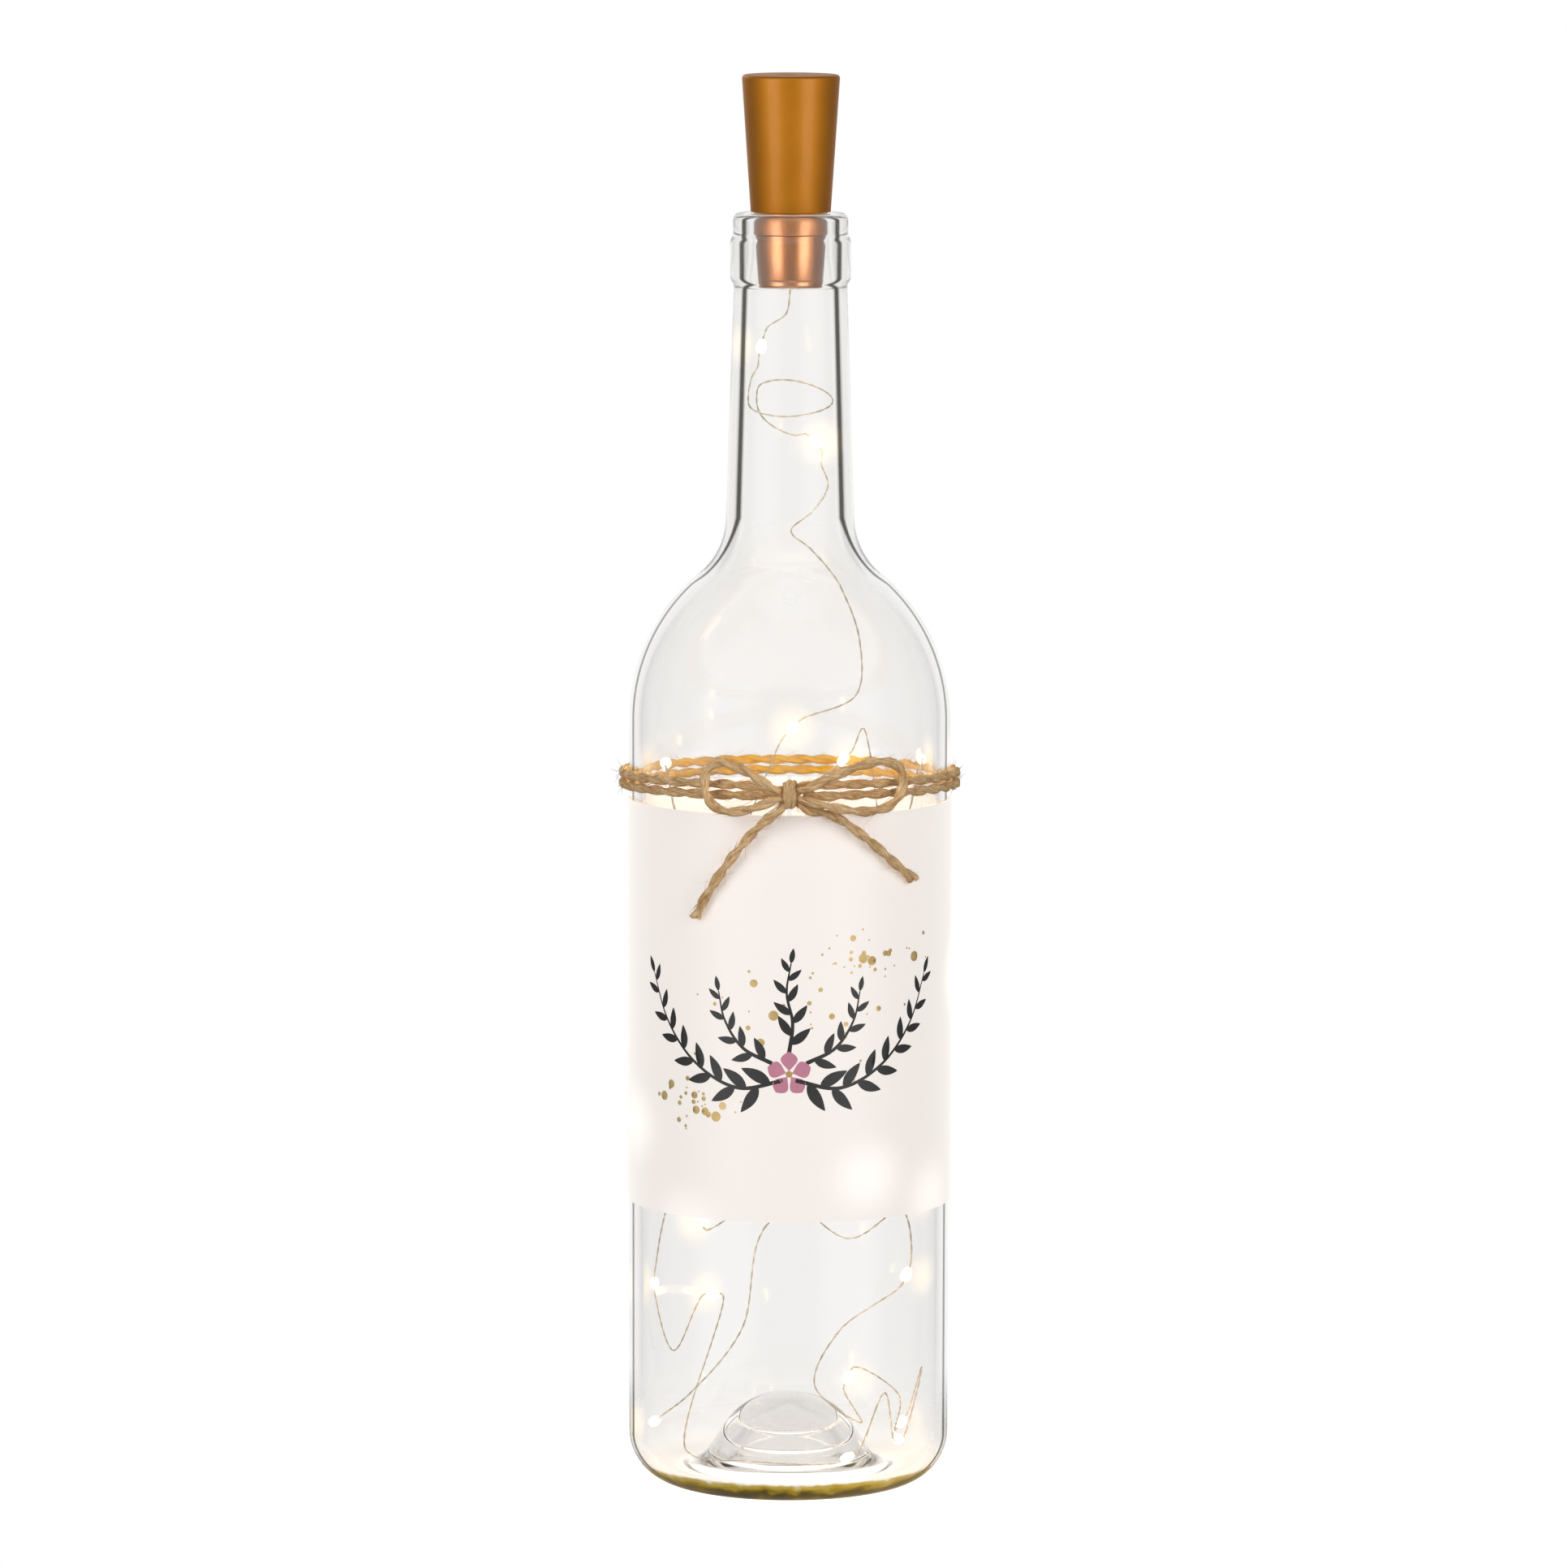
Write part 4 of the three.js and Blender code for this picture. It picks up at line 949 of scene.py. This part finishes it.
# Fibre streaks run along each ply, with darker gaps
def makeJute(s):
    finish, tree, shader = newFinish("juteTwine", tint(s["colour"]), s["roughness"])
    uv = addNode(tree, "ShaderNodeUVMap", uv_map="strand").outputs["UV"]
    mapping = addNode(tree, "ShaderNodeMapping", {"Vector": uv, "Scale": s["stretch"]})
    space = objectSpace(tree)
    streaks = addNoise(mapping.outputs["Vector"], *s["streaks"])
    fibre = addRamp(streaks, s["stops"])
    patches = addRamp(addNoise(space, *s["patches"]), s["patchStops"])
    colour = mixColours(s["patchShare"], fibre, patches, "MULTIPLY")
    addBump(shader, streaks, *s["bump"])
    # Painted light: the side of the turns that lies against the glass at the back is tinted amber and glows,
    # for the light of the string inside
    middle = turnRadius * mm
    inner = remap(axisDistance(space), [middle + offset for offset in s["innerSide"]])
    lit = times(inner, remap(splitAxes(space)["Y"], s["behind"]))
    setInputs(shader, {
        "Base Color": mixColours(lit, colour, tint(s["paintedAmberLight"]), "MULTIPLY"),
        "Specular IOR Level": s["gloss"],
        "Emission Strength": times(lit, s["innerGlow"]),
        "Emission Color": tint(s["glowColour"]),
    })
    return finish


# Loose hairs that stand off the twine
fibreSettings = {
    "every": 0.15, "uneven": (0.3, 1.7), "length": (1.4, 3.9), "rise": (0.2, 0.9), "bend": (-0.25, 0.25),
    "root": 0.07, "taper": 0.7, "depth": 0.85, "corners": (0.5, 2.6, 4.7), "steps": 3, "seed": 7,
}


def makeFibres(paths, s, start):
    picker = random.Random(s["seed"])
    bm = bmesh.new()
    uvMap = bm.loops.layers.uv.new("strand")
    for path in paths:
        nextRoot = 0.0
        for place, tangent, side, other, along in pathFrames(path):
            if along < nextRoot:
                continue
            nextRoot = along + picker.uniform(*s["uneven"]) * s["every"]
            a = picker.uniform(0, math.tau)
            out = spoke(side, other, a)
            length = picker.uniform(*s["length"])
            way = (tangent * picker.choice((-1, 1)) + out * picker.uniform(*s["rise"])).normalized()
            across = way.cross(out).normalized()
            bend = picker.uniform(*s["bend"])
            rings, lengths = [], []
            for t in shares(s["steps"]):
                spot = place + out * start * s["depth"] + way * length * t + across * bend * length * t * t
                width = s["root"] * (1 - s["taper"] * t)
                rings.append([spot + spoke(across, out, b) * width for b in s["corners"]])
                lengths.append(length * t)
            addStrand(bm, rings, lengths, uvMap, 0)
    return faceOut(bm)


# The knot: two wraps of the same twine over the crossing strands
knotSettings = {
    "wraps": 2.25, "width": 1.9, "deep": 1.9, "tall": 2.3, "steps": 130, "start": 0.6,
    "strandStep": 0.3, "across": (15, 0.35, 0.25), "under": (13, -0.42, 0.5),  # places, slope and depth
}


def knotPaths(k):
    centre = aroundPoint(0, knotRadius, knotHeight)
    wrap = []
    for share in shares(k["steps"]):
        a = math.tau * k["wraps"] * share + k["start"]
        offset = Vector(((share - 0.5) * k["width"], k["deep"] * math.sin(a), k["tall"] * math.cos(a)))
        wrap.append(centre + offset)

    def spots(count):
        return [(i - (count - 1) / 2) * k["strandStep"] for i in range(count)]

    count, slope, deep = k["across"]
    across = [centre + Vector((x, deep * math.sin(x), slope * x)) for x in spots(count)]
    count, slope, deep = k["under"]
    under = [centre + Vector((x, deep, slope * x)) for x in spots(count)]
    return [wrap, across, under]


juteFinish = makeJute(juteSettings)
twineCords = [
    ("twine_turns", turnsPath(twineSettings), "twine_wrap", "knot", "taut"),
    ("bow_left", loopPath(twineSettings, -1, *twineSettings["left"]), "bow_loop_left", "knot", "loose"),
    ("bow_right", loopPath(twineSettings, 1, *twineSettings["right"]), "bow_loop_right", "knot", "loose"),
    ("tail_left", tailPath(twineSettings, twineSettings["leftTail"]), "twine_tail_left", "bare", "hanging"),
    ("tail_right", tailPath(twineSettings, twineSettings["rightTail"]), "twine_tail_right", "bare",
     "hanging"),
]
knotMesh = layPlies(knotPaths(knotSettings), twineSettings, twineSettings["knotSeed"])
knotPiece = addPiece("twine_knot", knotMesh, juteFinish, "bottle", ["bow_knot"],
                     twineSettings["sharp"])
fibreMesh = makeFibres([cord[1] for cord in twineCords], fibreSettings, twineSettings["radius"])
fibrePiece = addPiece("twine_fibres", fibreMesh, juteFinish, "bottle")
for seed, (name, path, node, farEnd, lay) in enumerate(twineCords):
    opened = twineSettings["opened"] if farEnd == "bare" else 0.0
    mesh = layPlies([path], twineSettings, twineSettings["seedStep"] * seed, opened)
    piece = addPiece(name, mesh, juteFinish, "bottle", [node], twineSettings["sharp"])
print("twine and bow made")


# Stopper shell, as the solid, rounder
stopperSettings = {
    "seat": 301.0, "top": 333.0, "seam": 295.8, "topRadius": 11.45, "rimRadius": 9.375, "edge": 0.8,
    "edgeSteps": 6, "softEdge": 0.25, "sleeve": 8.65, "wall": 1.8, "ceiling": 331.0, "bore": 7.5,
    "boreTop": 303.8, "turns": 128, "slot": (-3.2, 1.2, 1.0),  # left end, right end and half width
    "slotHeight": 8, "slotDrop": 1,
    "spray": ("#aa6d1a", "#a26718", 0.52, 1.0, 700.0, 0.04), "sleeveColour": "#ab6414", "sprayEnd": 0.05,
    "roughness": (0.6, 0.36), "coat": (0.09, 1.0),  # of the spray and of the sleeve
}
lacquer = {"Coat IOR": 1.85, "Coat Roughness": 0.2}  # hard clear coat of the plug end


def makeStopper(s):
    share = (s["ceiling"] - s["seat"]) / (s["top"] - s["seat"])
    ceilingRadius = s["rimRadius"] + (s["topRadius"] - s["rimRadius"]) * share - s["wall"]
    profile = [
        (0, s["ceiling"]), (ceilingRadius, s["ceiling"]), (s["bore"], s["boreTop"]), (s["bore"], s["seam"]),
        (s["sleeve"], s["seam"]), (s["sleeve"], s["seat"]), (s["rimRadius"], s["seat"]),
        *arcPoints(s["topRadius"] - s["edge"], s["top"] - s["edge"], s["edge"], 0, 90, s["edgeSteps"]),
        (0, s["top"]),
    ]
    return spinProfile(softenCorners(profile, s["softEdge"]), s["turns"])


def cutSlot(piece, s):
    low, high, half = s["slot"]
    cutter = bmesh.new()
    bmesh.ops.create_cube(cutter, size=1.0)
    size = Matrix.Diagonal(((high - low) * mm, 2 * half * mm, s["slotHeight"] * mm, 1))
    place = Matrix.Translation(((high + low) / 2 * mm, 0, (s["top"] - s["slotDrop"]) * mm))
    bmesh.ops.transform(cutter, matrix=place @ size, verts=cutter.verts)
    tool = addMesh("slotCutter", cutter)
    modifier = piece.modifiers.new("slot", "BOOLEAN")
    modifier.operation = "DIFFERENCE"
    modifier.object = tool
    modifier.solver = "EXACT"
    graph = bpy.context.evaluated_depsgraph_get()
    done = bpy.data.meshes.new_from_object(piece.evaluated_get(graph))
    piece.modifiers.clear()
    piece.data = done
    shadeSmooth(done, meshSettings["sharp"])
    bpy.data.objects.remove(tool)


# Satin bronze spray outside; the sleeve inside the mouth is bare and glossier
def makeBronze(s):
    finish = grainFinish("satinBronze", *s["spray"])
    tree = finish.node_tree
    shader = tree.nodes["Principled BSDF"]
    height = splitAxes(objectSpace(tree))["Z"]
    below = reckon("LESS_THAN", height, (s["seat"] - s["sprayEnd"]) * mm)
    sprayed = shader.inputs["Base Color"].links[0].from_socket
    setInputs(shader, {
        "Base Color": mixColours(below, sprayed, tint(s["sleeveColour"])),
        "Roughness": remap(below, (0.0, 1.0), s["roughness"]),
        "Coat Weight": remap(below, (0.0, 1.0), s["coat"]),
        **lacquer,
    })
    return finish


bronzeFinish = makeBronze(stopperSettings)
stopper = addPiece("stopper_cap", makeStopper(stopperSettings), bronzeFinish, "shell",
                   ["stopper_shell"])
cutSlot(stopper, stopperSettings)
print("stopper made")


# Pieces inside the stopper keep the solids' shapes, with softened edges: slot and width of the bevel
innerSettings = {
    "battery_carrier": ("brown_plastic", 0.15), "button_cell_1": ("cell_steel", 0.12),
    "button_cell_2": ("cell_steel", 0.12), "button_cell_3": ("cell_steel", 0.12),
    "contact_spring": ("spring_steel", 0.0), "contact_plate": ("brass_sheet", 0.05),
    "circuit_board": ("board_green", 0.08), "resistor": ("black_plastic", 0.08),
    "switch_case": ("switch_tin", 0.12), "switch_slider": ("black_plastic", 0.12),
    "feed_lead": ("red_insulation", 0.0), "return_lead": ("black_plastic", 0.0),
    "wire_seal": ("seal_resin", 0.1),
}
bevelSettings = {"weld": 1e-6, "flat": 1, "edge": 40, "segments": 2}  # angles in degrees
innerFinishes = {
    "brown_plastic": grainFinish("copperBrownPlastic", "#ab6414", "#a25d12", 0.3, 1.0, 600.0, 0.03),
    "cell_steel": grainFinish("cellSteel", "#d0d2d4", "#b9bcbf", 0.26, 0.95, 500.0, 0.05),
    "spring_steel": grainFinish("springSteel", "#c2c5c9", "#9fa3a8", 0.3, 0.95, 800.0, 0.05),
    "brass_sheet": grainFinish("brassSheet", "#cfa957", "#b48f42", 0.3, 0.95, 500.0, 0.05),
    "board_green": grainFinish("boardGreen", "#2f7048", "#27603d", 0.42, 0.0, 500.0, 0.05),
    "switch_tin": grainFinish("switchTin", "#b9bdc0", "#9ea3a6", 0.34, 0.9, 700.0, 0.06),
    "black_plastic": grainFinish("blackPlastic", "#232427", "#191a1c", 0.5, 0.0, 800.0, 0.1),
    "red_insulation": grainFinish("redInsulation", "#ad3026", "#8f241c", 0.45, 0.0, 800.0, 0.08),
    "seal_resin": grainFinish("sealResin", "#d6cbb6", "#c6b99f", 0.35, 0.0, 500.0, 0.05),
}
carrierShader = innerFinishes["brown_plastic"].node_tree.nodes["Principled BSDF"]
setInputs(carrierShader, {"Coat Weight": 1.0, **lacquer})


def dressNode(node, slotName, body, width, s):
    bm = bmesh.new()
    bm.from_mesh(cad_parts[node].data)
    bmesh.ops.remove_doubles(bm, verts=bm.verts, dist=s["weld"])
    bmesh.ops.dissolve_limit(bm, angle_limit=math.radians(s["flat"]), verts=bm.verts, edges=bm.edges)
    if width:
        edges = [e for e in bm.edges if e.is_manifold and e.calc_face_angle(0) > math.radians(s["edge"])]
        bmesh.ops.bevel(bm, geom=edges, offset=width * mm, offset_type="OFFSET", affect="EDGES",
                        segments=s["segments"], profile=0.5, material=-1, clamp_overlap=True)
    return addPiece(f"{node}_dressed", bm, innerFinishes[slotName], body, [node])


for node, (slotName, width) in innerSettings.items():
    dressNode(node, slotName, "slider" if node == "switch_slider" else "carrier", width, bevelSettings)
print("stopper's inside made")


# Floor and light
floorSettings = {
    "radius": 0.17, "sides": 64, "fadeFrom": 0.07, "drop": 0.0003, "bounce": 0.36, "roughness": 0.9,
    "own": 0.88,  # its glow to the eye
    "inGlass": (1.0, 0.79), "under": (0.012, 0.032), "mirror": 0.05,  # through glass, a painted brighter glow under the bottle first
}


# A pale disc that fades into the white round it; it glows a little to the eye, and keeps the shadow. Seen
# through the glass it glows brighter under the bottle, a painted pool of light.
def addFloor(s):
    bm = bmesh.new()
    bmesh.ops.create_circle(bm, cap_ends=True, segments=s["sides"], radius=s["radius"])
    bmesh.ops.translate(bm, verts=bm.verts, vec=(0, 0, -s["drop"]))
    floor = addMesh("studioFloor", bm)
    finish, tree, shader = newFinish("paleFloor", grey(s["bounce"]), s["roughness"])
    setInputs(shader, {"Specular IOR Level": 0.0})
    path = addNode(tree, "ShaderNodeLightPath").outputs
    away = lengthOf(objectSpace(tree))
    mirrored = times(path["Is Glossy Ray"], s["mirror"])
    seen = reckon("MAXIMUM", mirrored, path["Is Transmission Ray"])
    # Painted light: through the glass the floor glows brighter under the bottle's middle
    reflected = times(seen, remap(away, s["under"], s["inGlass"]))
    strength = reckon("MULTIPLY_ADD", path["Is Camera Ray"], s["own"], reflected)
    glow = addNode(tree, "ShaderNodeEmission", {"Color": grey(1.0), "Strength": strength})
    both = addNode(tree, "ShaderNodeAddShader", {0: shader.outputs["BSDF"], 1: glow.outputs["Emission"]})
    clear = addNode(tree, "ShaderNodeBsdfTransparent")
    fade = remap(away, (s["fadeFrom"], s["radius"]), curve="SMOOTHSTEP")
    mixSurface(fade, both.outputs["Shader"], clear.outputs["BSDF"])
    floor.data.materials.append(finish)


worldSettings = {
    "fill": 0.14, "bounces": 24, "flags": 4.0, "flagDepth": 0.2, "flagEdge": (-0.45, -0.95),
    "low": (-0.24, -0.17), "high": (0.6, 0.3),  # heights between which the flags fade in
    "mirror": ((0.03, 0.35), (0.1, 1.0), (0.27, 1.0), (0.38, 0.35), (0.84, 0.35), (0.95, 1.0)),  # to the back
    "crossings": 4.0, "inside": (2.0, 1.5),  # four take a ray in and out of the bottle
}


# White all round, with low dark flags at the four corners that draw the edges of the glass
def addWorld(s):
    world = bpy.data.worlds.new("studio")
    scene.world = world
    world.use_nodes = True
    tree = world.node_tree
    sky = splitAxes(addNode(tree, "ShaderNodeTexCoord").outputs["Generated"])
    turn = reckon("ARCTAN2", sky["Y"], sky["X"])
    wave = reckon("COSINE", times(turn, s["flags"]))
    shade = remap(wave, s["flagEdge"], curve="SMOOTHSTEP")
    for span in (s["low"], s["high"]):
        shade = times(shade, remap(sky["Z"], span, curve="SMOOTHSTEP"))
    flagged = reckon("MULTIPLY_ADD", shade, -s["flagDepth"], 1.0)
    path = addNode(tree, "ShaderNodeLightPath").outputs
    seen = reckon("MAXIMUM", path["Is Glossy Ray"], path["Is Transmission Ray"])
    mirrored = addRamp(remap(sky["Y"], (-1.0, 1.0)), s["mirror"])
    # Rays that turn round inside the glass itself see the flags, not the mirror image
    walls = reckon("MODULO", path["Transmission Depth"], s["crossings"])
    turned = reckon("COMPARE", walls, *s["inside"])
    share = reckon("MULTIPLY_ADD", turned, -s["bounces"], path["Glossy Depth"])
    either = mixValues(share, flagged, mirrored)
    reflected = mixValues(seen, s["fill"], either)
    shown = mixValues(path["Is Camera Ray"], reflected, 1.0)
    setInputs(tree.nodes["Background"], {"Color": grey(1.0), "Strength": shown})


lampSettings = (  # place, width, height and power of the soft boxes
    ("leftBox", (-1.01, -1.1, 0.5), 0.85, 1.3, 12.5),
    ("rightBox", (1.01, -1.1, 0.5), 0.85, 1.3, 12.5),
    ("backBox", (-1.0, 1.5, 1.0), 0.9, 1.3, 6.0),
)
lampTarget = Vector((0, 0, 0.16))


# A soft box that lights the pieces; the glass takes no mirror image of it
def addLamp(name, place, width, height, power):
    data = bpy.data.lights.new(name, "AREA")
    data.shape = "RECTANGLE"
    data.size, data.size_y = width, height
    data.energy = power
    data.cycles.use_multiple_importance_sampling = False
    lamp = addObject(name, data)
    lamp.location = place
    lamp.rotation_euler = (lampTarget - Vector(place)).to_track_quat("-Z", "Y").to_euler()


# Light that the drops throw on what is round them
def addGlow(number, place, s):
    data = bpy.data.lights.new(f"glow{number}", "POINT")
    data.energy = s["power"]
    data.color = tint(s["thrown"])[:3]
    data.shadow_soft_size = stringSettings["lightRadius"] * mm
    lamp = addObject(f"glow{number}", data)
    lamp.location = place * mm
    lamp.visible_glossy = False
    lamp.visible_transmission = False


addFloor(floorSettings)
addWorld(worldSettings)
for lamp in lampSettings:
    addLamp(*lamp)
for number, (place, direction, index) in enumerate(lights[1:], 2):
    addGlow(number, place, lightSettings)
scene.view_settings.view_transform = "Standard"
scene.cycles.max_bounces = worldSettings["bounces"]
scene.cycles.glossy_bounces = worldSettings["bounces"]
scene.cycles.transmission_bounces = worldSettings["bounces"]
scene.cycles.transparent_max_bounces = worldSettings["bounces"]
print("floor and light made")
